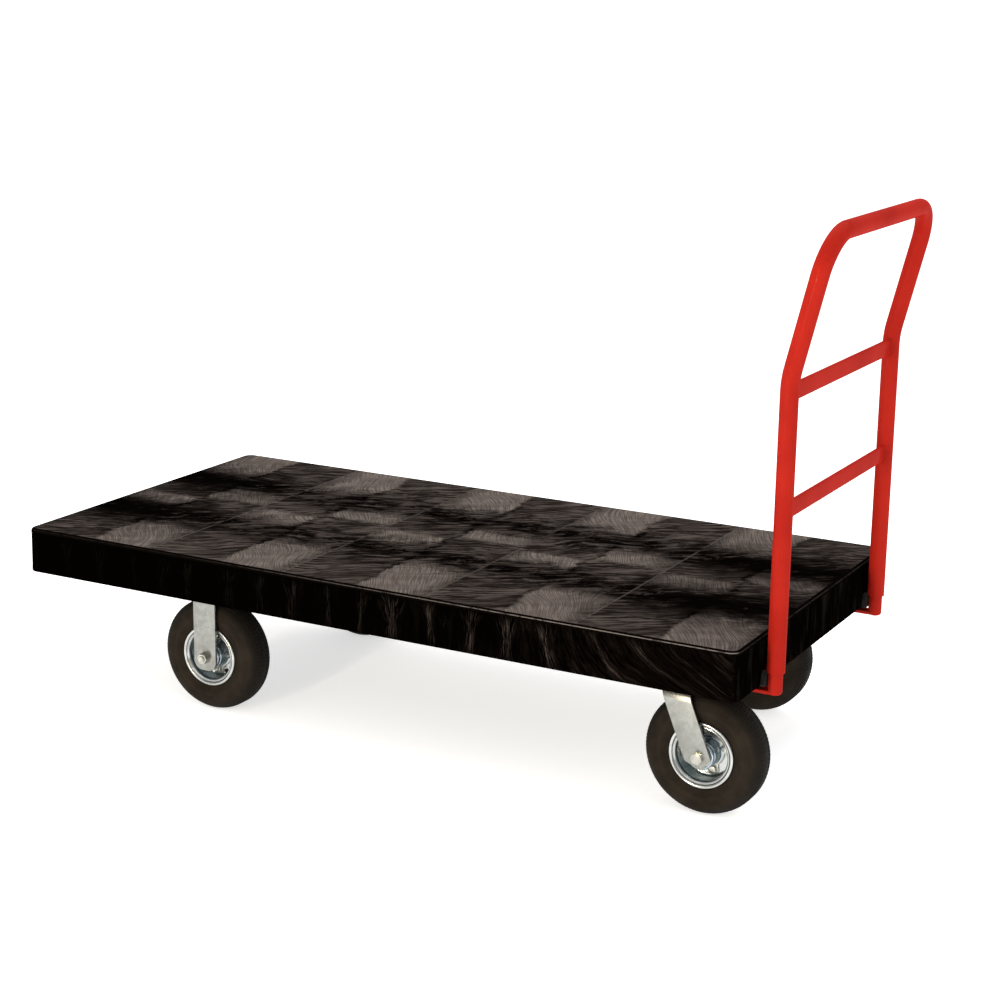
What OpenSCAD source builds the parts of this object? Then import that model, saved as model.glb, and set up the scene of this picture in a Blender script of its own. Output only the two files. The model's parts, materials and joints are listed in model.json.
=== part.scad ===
// Platform cart with a moulded deck, a lift-off tubular push handle at one end,
// two fixed casters and two swivel casters with pneumatic wheels.
// Millimetres. The origin is on the floor, in the middle of the whole cart's outline.
// +X points to the handle end, +Y to the right side seen from the handle, +Z up.

/* [Deck] */
// Length of the deck
deck_l = 1524; // [1400:2:1700]
// Width of the deck
deck_w = 762; // [720:2:820]
// Height of the load face above the floor
deck_top = 338; // [336:0.5:350]
// Depth of the deck's skirt
skirt_h = 88.5; // [86:0.5:92]
// Thickness of the load plate
plate_t = 12; // [8:1:16]
// Thickness of the skirt wall
skirt_t = 8; // [5:1:12]
// Radius of the deck's corners seen from above
corner_r = 22; // [16:1:40]
// Radius of the load face's edges
edge_r = 7; // [3:1:12]
// Depth of the ribs under the load plate
rib_h = 36; // [24:1:36]
// Thickness of a rib
rib_t = 4; // [3:1:8]

/* [Handle] */
// Outside diameter of the handle tube
tube_od = 31.75; // [30:0.25:34]
// Wall thickness of the handle tube
tube_wall = 2.75; // [2:0.05:2.8]
// Distance between the two legs, centre to centre
leg_spacing = 524; // [460:2:560]
// Distance from the deck's end face to the legs' centre lines
leg_gap = 22.6; // [20:0.2:28]
// Height of the lower ends of the legs
leg_end = 274.8; // [270:0.2:290]
// Height where the legs bend
bend_z = 782; // [760:1:820]
// Height of the top bar's centre line
top_z = 1026.5; // [980:0.5:1100]
// How far the top bar leans out beyond the legs
lean = 58.6; // [30:0.2:90]
// Centre-line radius of the two bends in the legs
bend_r = 170; // [120:5:220]
// Centre-line radius of the two top corners
top_corner_r = 72; // [60:1:90]
// Height of the upper crossbar's centre
upper_bar_z = 759.4; // [700:0.2:775]
// Height of the lower crossbar's centre
lower_bar_z = 556.5; // [500:0.5:620]
// Height of a crossbar's face
bar_h = 30; // [25:1:36]
// Thickness of a crossbar
bar_t = 8; // [5:1:12]

/* [Posts] */
// Diameter of the posts that carry the handle
post_d = 25.4; // [24:0.1:25.6]
// Height of the underside of the posts
post_end = 234.9; // [232:0.1:236]
// Height of the tops of the posts
post_top = 414; // [380:2:440]
// Thickness of the foot tabs
tab_t = 5.5; // [4:0.5:6]
// Width of the foot tabs
tab_w = 25; // [22:1:30]

/* [Wheels] */
// Outer radius of a tyre
tyre_r = 112; // [110:0.5:113]
// Width of a tyre
tyre_w = 68; // [64:1:72]
// Outer radius of the rim's flange
flange_r = 61; // [60:0.5:62]
// Radius of the seat that the tyre's bead sits on
seat_r = 50; // [49:0.5:51]
// Thickness of the rim's sheet
rim_t = 2.5; // [2:0.1:3]
// Radius of the hub's barrel
barrel_r = 26; // [25:0.5:27]
// Radius of the circle that the rim bolts sit on
rim_bolt_r = 35; // [35:0.25:36]
// Height of the plane where the rim's halves meet, from the tyre's middle plane, inner side negative
split_y = -6.3; // [-8:0.1:0]

/* [Casters] */
// Distance from the cart's centre line to the wheels' middle planes
wheel_y = 268; // [240:1:280]
// Position of the fixed axles along the deck, from the deck's middle
fixed_x = -380.4; // [-500:0.2:-300]
// Position of the kingpins along the deck, from the deck's middle
kingpin_x = 607.4; // [560:0.2:610]
// Trail of a swivel caster, from kingpin to axle
trail = 60.5; // [55:0.5:62]
// Distance from a wheel's middle plane to the inside of a fork leg
fork_gap = 39; // [38:0.5:41]
// Thickness of a fork's sheet
fork_t = 5; // [4:0.5:5]
// Width of a fixed fork's legs
fixed_leg_w = 51; // [44:1:56]
// Width of a swivel fork's legs, square to the leg
swivel_leg_w = 48; // [42:1:50]
// Angle of a swivel fork's legs from the vertical
rake = 22; // [20:0.5:24]
// Diameter of an axle bolt
axle_d = 12.7; // [12:0.1:13]
// Length of a mounting plate along the deck
mount_l = 127; // [120:1:130]
// Width of a mounting plate across the deck
mount_w = 108; // [104:1:112]
// Number of balls in a swivel race
ball_count = 16; // [8:1:20]

/* [Hidden] */
$fn = 96;
RED = "#c8281f";
BLACK = "#1d1a18";
ZINC = "#b9bbb6";
RUBBER = "#2a2622";
STEEL = "#8f9294";
eps = 1;

// Frame: the cart's outline runs from the deck's free end to the top bar.
tube_r = tube_od / 2;
deck_x = -(leg_gap + lean + tube_r) / 2;
handle_x = deck_l / 2 + leg_gap;
leg_y = leg_spacing / 2;

// Heights under the deck
skirt_z = deck_top - skirt_h;
plate_z = deck_top - plate_t;
rib_z = plate_z - rib_h;
mount_z = 254;
mount_t = 6;
mount_bottom = mount_z - mount_t;
crown_z = 235;
race_h = 3;
race_z = (crown_z + mount_bottom - race_h) / 2;

// Steel cross channels
channel_w = 140;
channel_l = deck_w - 2 * skirt_t - 26;
channel_h = rib_z - mount_z;
channel_t = 3;

// Handle
lean_angle = atan(lean / (top_z - bend_z));
bend_start = bend_z - bend_r * tan(lean_angle / 2);
bend_dx = bend_r * (1 - cos(lean_angle));
bend_dz = bend_r * sin(lean_angle);
upper_l = (top_z - bend_start - bend_dz) / cos(lean_angle);
tube_id = tube_od - 2 * tube_wall;
stop_t = 6;
stop_bore_d = 12;
bend_thinning = 0.1;
bend_lap = 2;
bar_edge_r = 2;
bar_cut = 0.7;
bar_l = leg_spacing - tube_od + 2 * bar_cut;

// Posts and the deck's seats for them
post_edge_r = 6;
tab_z = 237;
tab_start = 18;
tab_l = 84;
tab_bolt_x = [64, 88];
tab_bolt_d = 8;
tab_bolt_l = 25;
tab_bolt_head = 13;
tab_bolt_head_h = 5.3;
pad_l = 70;
pad_w = 44;
lug_gap = 0.5;
lug_h = 25;
lug_half_low = 14;
lug_half_high = 5;

// Wheels
shoulder_r = (tyre_r - 59) / 2;
shoulder_y = tyre_w / 2 - shoulder_r;
section_r = tyre_r - shoulder_r;
cavity_r = shoulder_r - 5.5;
lip_r = 3.2;
lip_y = 29.3;
bead_in = 18;
bead_out = 25.8;
bead_top = section_r - 12;
tube_wall_t = 2;
valve_d = 7.8;
valve_bore_d = 3;
valve_y = 14;
valve_tip = 39;
bore_r = 10;
running_gap = 0.05;
bearing_r = 21;
bearing_w = 12;
bearing_out = 34;
barrel_out = 35.5;
barrel_edge_r = 3;
lobe_r = 10.5;
lobe_t = 3;
rim_bolt_d = 8;
rim_bolt_head = 13;
rim_bolt_head_h = 5.3;
rim_nut_h = 6.5;
rim_bolt_l = 25;
waist_r = 32.5;

// Casters
fork_out = fork_gap + fork_t;
fork_bend_in = 22;
leg_foot = 26;
leg_shift = 2;
foot_left = 9;
foot_low = 21;
foot_tip = [3.5, 9];
foot_tip_rise = 1;
foot_round_r = 19;
axle_head = 19;
axle_head_h = 8;
axle_nut_h = 11;
axle_proud = 4;
spacer_gap = 0.2;
kingpin_d = 14;
kingpin_head_d = 24;
kingpin_head_h = 3;
kingpin_tail_d = 22;
kingpin_tail_h = 5;
kingpin_sink = 0.5;
kingpin_play = 0.3;
crown_r = 46;
race_r = 30;
race_half = 8;
ball_r = 4;
ball_gap = 0.1;
mount_bolt_x = 52;
mount_bolt_y = 42;
mount_bolt_d = 10;
mount_bolt_head = 16;
mount_bolt_head_h = 6.4;
mount_nut_h = 8;
bolt_proud = 3;
mount_corner_r = 8;
bolt_play = 0.1;

// Each caster: name, kingpin or axle x, y, heading in degrees, trail, turn of the wheel, valve's quarter
CASTERS = [
    ["left_fixed", fixed_x, -wheel_y, 0, 0, 0, 3],
    ["right_fixed", fixed_x, wheel_y, 180, 0, 30, 0],
    ["left_swivel", kingpin_x, -wheel_y, 0, trail, 18.6, 1],
    ["right_swivel", kingpin_x, wheel_y, 180, trail, 50, 2]
];
WHEEL_PARTS = ["tyre", "inner_tube", "outer_rim", "inner_rim", "rim_bolts", "hub", "bearings"];
FORK_PARTS = ["fork", "axle_bolt", "axle_nut", "axle_spacer"];
SWIVEL_PARTS = ["top_plate", "race_balls", "kingpin"];
DECK_PARTS = ["deck", "front_channel", "rear_channel", "caster_bolts", "caster_nuts", "post_bolts"];
HANDLE_PARTS = ["left_post", "right_post", "handle_tube", "upper_crossbar", "lower_crossbar"];

// ---- placing ----

// Moves children from the deck's own middle to the cart's frame
module on_deck() {
    translate([deck_x, 0, 0]) children();
}

module both_sides() {
    children();
    mirror([0, 1, 0]) children();
}

// Caster frame: kingpin on the Z axis, trailing along +X, bolt heads towards -Y
module at_caster(c) {
    on_deck() translate([c[1], c[2], 0]) rotate([0, 0, c[3]]) children();
}

// Axle frame: the wheel's axis on Z, with the outer side up
module on_axle(c) {
    at_caster(c) translate([c[4], 0, tyre_r]) rotate([90, 0, 0]) children();
}

module wheel_turn(c) {
    on_axle(c) rotate([0, 0, c[5]]) children();
}

// ---- shapes ----

module hex_prism(across, h) {
    cylinder(d = across / cos(30), h = h, $fn = 6);
}

module ring(r_out, r_in, h) {
    difference() {
        cylinder(r = r_out, h = h);
        translate([0, 0, -eps]) cylinder(r = r_in, h = h + 2 * eps);
    }
}

module rounded_rect(l, w, r) {
    square([l - 2 * r, w], center = true);
    square([l, w - 2 * r], center = true);
    for (x = [-1, 1], y = [-1, 1]) translate([x * (l / 2 - r), y * (w / 2 - r)]) circle(r = r);
}

// A rectangle that stands on y = 0 with its two upper corners rounded
module arch(w, h, r) {
    translate([-w / 2, 0]) square([w, h - r]);
    translate([-w / 2 + r, 0]) square([w - 2 * r, h]);
    for (x = [-1, 1]) translate([x * (w / 2 - r), h - r]) circle(r = r);
}

module hex_bolt(d, across, head_h, l) {
    translate([0, 0, -head_h]) hex_prism(across, head_h);
    cylinder(d = d, h = l);
}

module hex_nut(d, across, h) {
    difference() {
        hex_prism(across, h);
        translate([0, 0, -eps]) cylinder(d = d + bolt_play, h = h + 2 * eps);
    }
}

// ---- deck ----

module deck_block() {
    intersection() {
        translate([0, 0, skirt_z]) linear_extrude(skirt_h) rounded_rect(deck_l, deck_w, corner_r);
        translate([0, deck_w / 2, skirt_z]) rotate([90, 0, 0]) linear_extrude(deck_w)
            arch(deck_l, skirt_h, edge_r);
        translate([-deck_l / 2, 0, skirt_z]) rotate([90, 0, 90]) linear_extrude(deck_l)
            arch(deck_w, skirt_h, edge_r);
    }
}

module deck_ribs() {
    inner_l = deck_l - 2 * skirt_t + 2 * eps;
    inner_w = deck_w - 2 * skirt_t + 2 * eps;
    for (i = [-5:5])
        translate([i * deck_l / 12 - rib_t / 2, -inner_w / 2, rib_z]) cube([rib_t, inner_w, rib_h + eps]);
    for (i = [-2:2])
        translate([-inner_l / 2, i * deck_w / 6 - rib_t / 2, rib_z]) cube([inner_l, rib_t, rib_h + eps]);
}

// Solid seats inside the skirt that the foot tabs are bolted to
module tab_pads() {
    both_sides() translate([deck_l / 2 - skirt_t - pad_l + eps, leg_y - pad_w / 2, tab_z + tab_t])
        cube([pad_l, pad_w, plate_z - tab_z - tab_t + eps]);
}

// Tapered lugs on the end face that the posts bear against
module post_lugs() {
    lug_t = leg_gap - post_d / 2 - lug_gap;
    both_sides() translate([deck_l / 2 - eps, leg_y, skirt_z]) rotate([90, 0, 90])
        linear_extrude(lug_t + eps)
            polygon([[-lug_half_low, 0], [lug_half_low, 0], [lug_half_high, lug_h], [-lug_half_high, lug_h]]);
}

module at_tab_bolts() {
    for (y = [-leg_y, leg_y], x = tab_bolt_x) translate([handle_x - x, y, tab_z]) children();
}

module deck() {
    color(BLACK) on_deck() difference() {
        union() {
            difference() {
                deck_block();
                translate([0, 0, skirt_z - eps]) linear_extrude(plate_z - skirt_z + eps)
                    rounded_rect(deck_l - 2 * skirt_t, deck_w - 2 * skirt_t, corner_r - skirt_t);
            }
            deck_ribs();
            tab_pads();
            post_lugs();
        }
        at_tab_bolts() cylinder(d = tab_bolt_d + bolt_play, h = tab_bolt_l + eps);
    }
}

// ---- steel under the deck ----

module at_mount_bolts(c) {
    at_caster(c) for (x = [-mount_bolt_x, mount_bolt_x], y = [-mount_bolt_y, mount_bolt_y])
        translate([x, y, 0]) children();
}

module channel(x, casters) {
    color(STEEL) difference() {
        on_deck() translate([x - channel_w / 2, -channel_l / 2, mount_z]) difference() {
            cube([channel_w, channel_l, channel_h]);
            translate([channel_t, -eps, channel_t])
                cube([channel_w - 2 * channel_t, channel_l + 2 * eps, channel_h]);
        }
        for (c = casters) at_mount_bolts(c) translate([0, 0, mount_z - eps])
            cylinder(d = mount_bolt_d + bolt_play, h = channel_t + 2 * eps);
    }
}

module caster_bolts() {
    color(ZINC) for (c = CASTERS) at_mount_bolts(c) translate([0, 0, mount_bottom])
        hex_bolt(mount_bolt_d, mount_bolt_head, mount_bolt_head_h, mount_t + channel_t + mount_nut_h + bolt_proud);
}

module caster_nuts() {
    color(ZINC) for (c = CASTERS) at_mount_bolts(c) translate([0, 0, mount_z + channel_t])
        hex_nut(mount_bolt_d, mount_bolt_head, mount_nut_h);
}

// ---- handle ----

// One side of the handle: leg, bend, leaning part and top corner. The bend is drawn down a little
// and the straight parts run a little way into it, so that all of them make one solid
module handle_side(d, start) {
    translate([0, leg_y, start]) cylinder(d = d, h = bend_start + bend_lap - start);
    translate([bend_r, leg_y, bend_start]) rotate([90, 0, 0]) rotate([0, 0, 180 - lean_angle])
        rotate_extrude(angle = lean_angle) translate([bend_r, 0]) circle(d = d - 2 * bend_thinning);
    translate([bend_dx, 0, bend_start + bend_dz]) rotate([0, lean_angle, 0]) {
        translate([0, leg_y, -bend_lap]) cylinder(d = d, h = upper_l - top_corner_r + bend_lap);
        translate([0, leg_y - top_corner_r, upper_l - top_corner_r]) rotate([90, 0, 90])
            rotate_extrude(angle = 90) translate([top_corner_r, 0]) circle(d = d);
    }
}

module handle_path(d, start) {
    both_sides() handle_side(d, start);
    translate([bend_dx, 0, bend_start + bend_dz]) rotate([0, lean_angle, 0]) translate([0, 0, upper_l])
        rotate([90, 0, 0]) cylinder(d = d, h = leg_spacing - 2 * top_corner_r, center = true);
}

module on_handle() {
    on_deck() translate([handle_x, 0, 0]) children();
}

module handle_tube() {
    color(RED) on_handle() {
        difference() {
            handle_path(tube_od, leg_end);
            handle_path(tube_id, leg_end - eps);
        }
        both_sides() translate([0, leg_y, post_top]) ring(tube_id / 2 + tube_wall / 2, stop_bore_d / 2, stop_t);
    }
}

module crossbar(z) {
    color(RED) on_handle() difference() {
        translate([0, 0, z]) rotate([90, 0, 0]) linear_extrude(bar_l, center = true)
            rounded_rect(bar_t, bar_h, bar_edge_r);
        handle_path(tube_od, leg_end);
    }
}

module post(side) {
    color(RED) on_handle() translate([0, side * leg_y, 0]) difference() {
        union() {
            translate([0, 0, post_end]) rotate_extrude() union() {
                translate([0, post_edge_r]) square([post_d / 2, post_top - post_end - post_edge_r]);
                square([post_d / 2 - post_edge_r, post_edge_r + eps]);
                intersection() {
                    translate([post_d / 2 - post_edge_r, post_edge_r]) circle(r = post_edge_r);
                    square([post_d / 2, 2 * post_edge_r]);
                }
            }
            translate([-tab_l - tab_start, -tab_w / 2, tab_z]) cube([tab_l + tab_start, tab_w, tab_t]);
        }
        for (x = tab_bolt_x) translate([-x, 0, tab_z - eps])
            cylinder(d = tab_bolt_d + bolt_play, h = tab_t + 2 * eps);
    }
}

module post_bolts() {
    color(ZINC) on_deck() at_tab_bolts() hex_bolt(tab_bolt_d, tab_bolt_head, tab_bolt_head_h, tab_bolt_l);
}

// ---- wheel, drawn about the Z axis with its outer side up ----

module stadium(r) {
    for (y = [-1, 1]) translate([section_r, y * shoulder_y]) circle(r = r);
    translate([section_r - r, -shoulder_y]) square([2 * r, 2 * shoulder_y]);
}

module tyre() {
    color(RUBBER) rotate_extrude() difference() {
        union() {
            stadium(shoulder_r);
            for (y = [-1, 1]) translate([seat_r, min(y * bead_in, y * bead_out)])
                square([bead_top - seat_r, bead_out - bead_in]);
        }
        stadium(cavity_r);
        translate([0, -bead_in]) square([section_r, 2 * bead_in]);
    }
}

module inner_tube(quarter) {
    color(RUBBER) difference() {
        union() {
            rotate_extrude() difference() {
                stadium(cavity_r - 0.1);
                stadium(cavity_r - tube_wall_t);
            }
            rotate([0, 0, 45 + 90 * quarter]) translate([valve_tip, 0, valve_y]) rotate([0, 90, 0])
                cylinder(d = valve_d, h = section_r - cavity_r - valve_tip + tube_wall_t);
        }
        rotate([0, 0, 45 + 90 * quarter]) translate([valve_tip - eps, 0, valve_y]) rotate([0, 90, 0])
            cylinder(d = valve_bore_d, h = section_r - valve_tip);
    }
}

module at_rim_bolts() {
    for (a = [0:90:270]) rotate([0, 0, a]) translate([rim_bolt_r, 0, 0]) children();
}

// Half of the split rim: centre disc at height base, bead seat and rolled flange
module rim_half(base) {
    difference() {
        rotate_extrude() {
            translate([barrel_r + 0.1, base]) square([seat_r - barrel_r - 0.1, rim_t]);
            translate([seat_r - rim_t, base]) square([rim_t, lip_y - base]);
            translate([seat_r - rim_t, lip_y - rim_t]) square([flange_r - lip_r - seat_r + rim_t, rim_t]);
            translate([flange_r - lip_r, lip_y]) circle(r = lip_r);
        }
        at_rim_bolts() translate([0, 0, base - eps])
            cylinder(d = rim_bolt_d + bolt_play, h = rim_t + 2 * eps);
    }
}

module outer_rim(quarter) {
    color(ZINC) difference() {
        rim_half(split_y);
        rotate([0, 0, 45 + 90 * quarter]) translate([valve_tip, 0, valve_y]) rotate([0, 90, 0])
            cylinder(d = valve_d + 1, h = section_r - valve_tip);
    }
}

module inner_rim() {
    color(ZINC) mirror([0, 0, 1]) rim_half(-split_y);
}

module rim_bolts(nuts_out) {
    outer = split_y + rim_t + lobe_t;
    inner = split_y - rim_t;
    turn = nuts_out ? 0 : 180;
    color(ZINC) at_rim_bolts() {
        translate([0, 0, nuts_out ? inner : outer]) rotate([turn, 0, 0])
            hex_bolt(rim_bolt_d, rim_bolt_head, rim_bolt_head_h, rim_bolt_l);
        translate([0, 0, nuts_out ? outer : inner]) rotate([turn, 0, 0])
            hex_nut(rim_bolt_d, rim_bolt_head, rim_nut_h);
    }
}

// Barrel with a four-lobed flange on the outer side of the rim's discs
module hub() {
    color(ZINC) difference() {
        union() {
            rotate_extrude() for (y = [0, 1]) mirror([0, y]) {
                square([barrel_r, barrel_out - barrel_edge_r]);
                square([barrel_r - barrel_edge_r, barrel_out]);
                translate([barrel_r - barrel_edge_r, barrel_out - barrel_edge_r]) circle(r = barrel_edge_r);
            }
            translate([0, 0, split_y + rim_t]) linear_extrude(lobe_t) {
                circle(r = waist_r);
                for (a = [0:90:270]) rotate(a) translate([rim_bolt_r, 0]) circle(r = lobe_r);
            }
        }
        translate([0, 0, -barrel_out - eps]) cylinder(r = bearing_r - 4, h = 2 * barrel_out + 2 * eps);
        for (z = [bearing_out - bearing_w, -barrel_out - eps]) translate([0, 0, z])
            cylinder(r = bearing_r, h = barrel_out + eps - bearing_out + bearing_w);
        at_rim_bolts() translate([0, 0, split_y])
            cylinder(d = rim_bolt_d + bolt_play, h = rim_t + lobe_t + eps);
    }
}

module bearings() {
    color(STEEL) for (y = [0, 1]) mirror([0, 0, y]) translate([0, 0, bearing_out - bearing_w]) difference() {
        ring(bearing_r, bore_r + running_gap, bearing_w);
        translate([0, 0, bearing_w - 1]) ring(bearing_r - 3, bore_r + 3, 1 + eps);
    }
}

// ---- forks and axles ----

module axle_hole() {
    translate([0, 0, -fork_out - eps]) cylinder(d = axle_d + bolt_play, h = 2 * fork_out + 2 * eps);
}

module mount_plate() {
    translate([0, 0, mount_bottom]) linear_extrude(mount_t) difference() {
        rounded_rect(mount_l, mount_w, mount_corner_r);
        for (x = [-mount_bolt_x, mount_bolt_x], y = [-mount_bolt_y, mount_bolt_y])
            translate([x, y]) circle(d = mount_bolt_d + bolt_play);
    }
}

module fixed_fork(c) {
    color(ZINC) difference() {
        at_caster(c) {
            mount_plate();
            both_sides() translate([0, fork_out, tyre_r - leg_foot]) rotate([90, 0, 0]) linear_extrude(fork_t) {
                translate([-fixed_leg_w / 2, foot_round_r])
                    square([fixed_leg_w, mount_bottom - tyre_r + leg_foot - foot_round_r + eps]);
                for (x = [-1, 1]) translate([x * (fixed_leg_w / 2 - foot_round_r), foot_round_r])
                    circle(r = foot_round_r);
                translate([foot_round_r - fixed_leg_w / 2, 0])
                    square([fixed_leg_w - 2 * foot_round_r, foot_round_r + eps]);
            }
        }
        on_axle(c) axle_hole();
    }
}

// Outline of a raked leg seen from the side, about the axle's centre
module raked_leg() {
    top = crown_z - tyre_r + eps;
    half = swivel_leg_w / 2 / cos(rake);
    slope = tan(rake);
    polygon([
        [-half - leg_shift - slope * top, top],
        [-half - leg_shift + slope * foot_left, -foot_left],
        [foot_tip[0], -foot_low],
        [foot_tip[1], foot_tip_rise - foot_low],
        [half - leg_shift, 0],
        [half - leg_shift - slope * top, top]
    ]);
}

module swivel_fork(c) {
    bend_out = fork_bend_in + fork_t;
    color(ZINC) difference() {
        at_caster(c) {
            intersection() {
                translate([trail, fork_out, tyre_r]) rotate([90, 0, 0]) linear_extrude(2 * fork_out)
                    raked_leg();
                translate([-crown_r, 0, 0]) rotate([90, 0, 90]) linear_extrude(4 * crown_r) difference() {
                    arch(2 * fork_out, crown_z, bend_out);
                    translate([0, -eps]) arch(2 * fork_gap, crown_z - fork_t + eps, fork_bend_in);
                }
            }
            translate([0, 0, crown_z - fork_t]) cylinder(r = crown_r, h = fork_t);
            translate([0, 0, crown_z - eps]) ring(race_r + race_half, race_r - race_half, race_h + eps);
        }
        at_caster(c) {
            translate([0, 0, crown_z - fork_t - eps]) cylinder(d = kingpin_d + bolt_play, h = fork_t + 2 * eps);
            race_groove();
        }
        on_axle(c) axle_hole();
    }
}

module race_groove() {
    translate([0, 0, race_z]) rotate_extrude() translate([race_r, 0]) circle(r = ball_r + ball_gap);
}

module top_plate(c) {
    color(ZINC) at_caster(c) difference() {
        union() {
            mount_plate();
            translate([0, 0, mount_bottom - race_h * 2])
                ring(race_r + race_half, race_r - race_half, race_h * 2 + eps);
        }
        translate([0, 0, mount_bottom - eps]) cylinder(r = kingpin_d / 2 + running_gap, h = mount_t + 2 * eps);
        translate([0, 0, mount_z - kingpin_sink - kingpin_head_h - kingpin_play])
            cylinder(d = kingpin_head_d + 1, h = kingpin_sink + kingpin_head_h + kingpin_play + eps);
        race_groove();
    }
}

module race_balls(c) {
    color(STEEL) at_caster(c) for (i = [0:ball_count - 1]) rotate([0, 0, i * 360 / ball_count])
        translate([race_r, 0, race_z]) sphere(r = ball_r, $fn = 24);
}

module kingpin(c) {
    tail_z = crown_z - fork_t;
    head_top = mount_z - kingpin_sink;
    color(STEEL) at_caster(c) {
        translate([0, 0, tail_z - kingpin_tail_h]) cylinder(d = kingpin_tail_d, h = kingpin_tail_h);
        translate([0, 0, tail_z - eps]) cylinder(d = kingpin_d, h = head_top - tail_z + eps);
        translate([0, 0, head_top - kingpin_head_h]) cylinder(d = kingpin_head_d, h = kingpin_head_h);
    }
}

module axle_bolt() {
    color(ZINC) translate([0, 0, fork_out]) rotate([180, 0, 0])
        hex_bolt(axle_d, axle_head, axle_head_h, 2 * fork_out + axle_nut_h + axle_proud);
}

module axle_nut() {
    color(ZINC) translate([0, 0, -fork_out]) rotate([180, 0, 0]) hex_nut(axle_d, axle_head, axle_nut_h);
}

module axle_spacer() {
    color(STEEL) translate([0, 0, spacer_gap - fork_gap])
        ring(bore_r, axle_d / 2 + bolt_play, 2 * (fork_gap - spacer_gap));
}

// ---- drawing ----

deck();
channel(fixed_x, [CASTERS[0], CASTERS[1]]);  // front_channel
channel(kingpin_x, [CASTERS[2], CASTERS[3]]);  // rear_channel
caster_bolts();
caster_nuts();
post_bolts();
post(-1);  // left_post
post(1);  // right_post
handle_tube();
crossbar(upper_bar_z);  // upper_crossbar
crossbar(lower_bar_z);  // lower_crossbar

for (c = CASTERS) {
    wheel_turn(c) tyre();
    wheel_turn(c) inner_tube(c[6]);
    wheel_turn(c) outer_rim(c[6]);
    wheel_turn(c) inner_rim();
    wheel_turn(c) rim_bolts(c[4] == 0);
    wheel_turn(c) hub();
    wheel_turn(c) bearings();
}

for (c = [CASTERS[2], CASTERS[3]]) {
    swivel_fork(c);
    top_plate(c);
    race_balls(c);
    kingpin(c);
    on_axle(c) axle_bolt();
    on_axle(c) axle_nut();
    on_axle(c) axle_spacer();
}

fixed_fork(CASTERS[0]);  // left_fixed_fork
fixed_fork(CASTERS[1]);  // right_fixed_fork

// The fixed casters show their nuts on the outside
for (c = [CASTERS[0], CASTERS[1]]) on_axle(c) mirror([0, 0, 1]) axle_bolt();  // fixed_axle_bolts
for (c = [CASTERS[0], CASTERS[1]]) on_axle(c) mirror([0, 0, 1]) axle_nut();  // fixed_axle_nuts
for (c = [CASTERS[0], CASTERS[1]]) on_axle(c) axle_spacer();  // fixed_axle_spacers
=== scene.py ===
"""Looks for the platform cart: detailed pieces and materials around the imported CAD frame.

Metres, in the frame of the CAD part: +X towards the handle, +Y to the right, +Z up.
"""

import json
import math

import bmesh
import bpy
import numpy as np
from mathutils import Matrix, Vector


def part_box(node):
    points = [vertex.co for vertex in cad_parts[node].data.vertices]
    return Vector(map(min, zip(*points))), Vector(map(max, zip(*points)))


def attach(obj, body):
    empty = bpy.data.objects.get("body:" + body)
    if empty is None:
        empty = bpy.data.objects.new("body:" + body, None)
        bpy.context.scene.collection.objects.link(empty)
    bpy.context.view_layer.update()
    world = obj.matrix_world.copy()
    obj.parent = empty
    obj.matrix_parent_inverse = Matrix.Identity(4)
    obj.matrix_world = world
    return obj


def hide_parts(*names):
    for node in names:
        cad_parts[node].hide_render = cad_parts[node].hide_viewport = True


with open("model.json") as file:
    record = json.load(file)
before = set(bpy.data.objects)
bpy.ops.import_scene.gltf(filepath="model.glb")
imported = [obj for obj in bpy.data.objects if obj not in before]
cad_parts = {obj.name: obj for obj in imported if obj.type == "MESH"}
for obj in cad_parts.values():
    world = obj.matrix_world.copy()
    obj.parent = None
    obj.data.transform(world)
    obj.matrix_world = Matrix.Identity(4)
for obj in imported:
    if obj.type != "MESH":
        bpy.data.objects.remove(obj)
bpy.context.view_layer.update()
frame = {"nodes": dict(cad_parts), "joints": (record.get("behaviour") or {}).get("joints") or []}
MM = 0.001
TAU = 2 * math.pi
JOINTS = {j["name"]: j for j in frame["joints"]}
CASTERS = ("left_fixed", "right_fixed", "left_swivel", "right_swivel")

# ---------------- mesh helpers


def add_object(name, mesh, sharp=35.0):
    """A new object that shows a mesh, shaded smooth apart from its sharp edges."""
    mesh.validate()
    mesh.shade_smooth()
    mesh.set_sharp_from_angle(angle=math.radians(sharp))
    piece = bpy.data.objects.new(name, mesh)
    bpy.context.scene.collection.objects.link(piece)
    return piece


def make_mesh(name, points, faces):
    mesh = bpy.data.meshes.new(name)
    mesh.from_pydata([tuple(p) for p in points], [], [tuple(f) for f in faces])
    mesh.update()
    return mesh


def grid_faces(rows, columns, wrap_rows=False, wrap_columns=True, flip=False):
    """Quads between rows of points. Each row has the same number of columns."""
    faces = []
    for i in range(rows if wrap_rows else rows - 1):
        for j in range(columns if wrap_columns else columns - 1):
            a, b = i * columns, ((i + 1) % rows) * columns
            k = (j + 1) % columns
            quad = (a + j, a + k, b + k, b + j)
            faces.append(quad[::-1] if flip else quad)
    return faces


def lathe(name, outline, steps=128, dent=None):
    """Turns a closed outline of (radius, height) about the Z axis. dent moves single points."""
    outline = np.array(outline, float)
    angles = np.arange(steps) / steps * TAU
    radius, height = outline[:, 0], outline[:, 1]
    a, r = np.meshgrid(angles, radius)
    z = np.repeat(height[:, None], steps, axis=1)
    if dent is not None:
        r, z = dent(a, r, z)
    points = np.stack([r * np.cos(a), r * np.sin(a), z], -1).reshape(-1, 3)
    return make_mesh(name, points, grid_faces(len(outline), steps, wrap_rows=True))


def in_mm(points):
    return [(x * MM, y * MM) for x, y in points]


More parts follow.
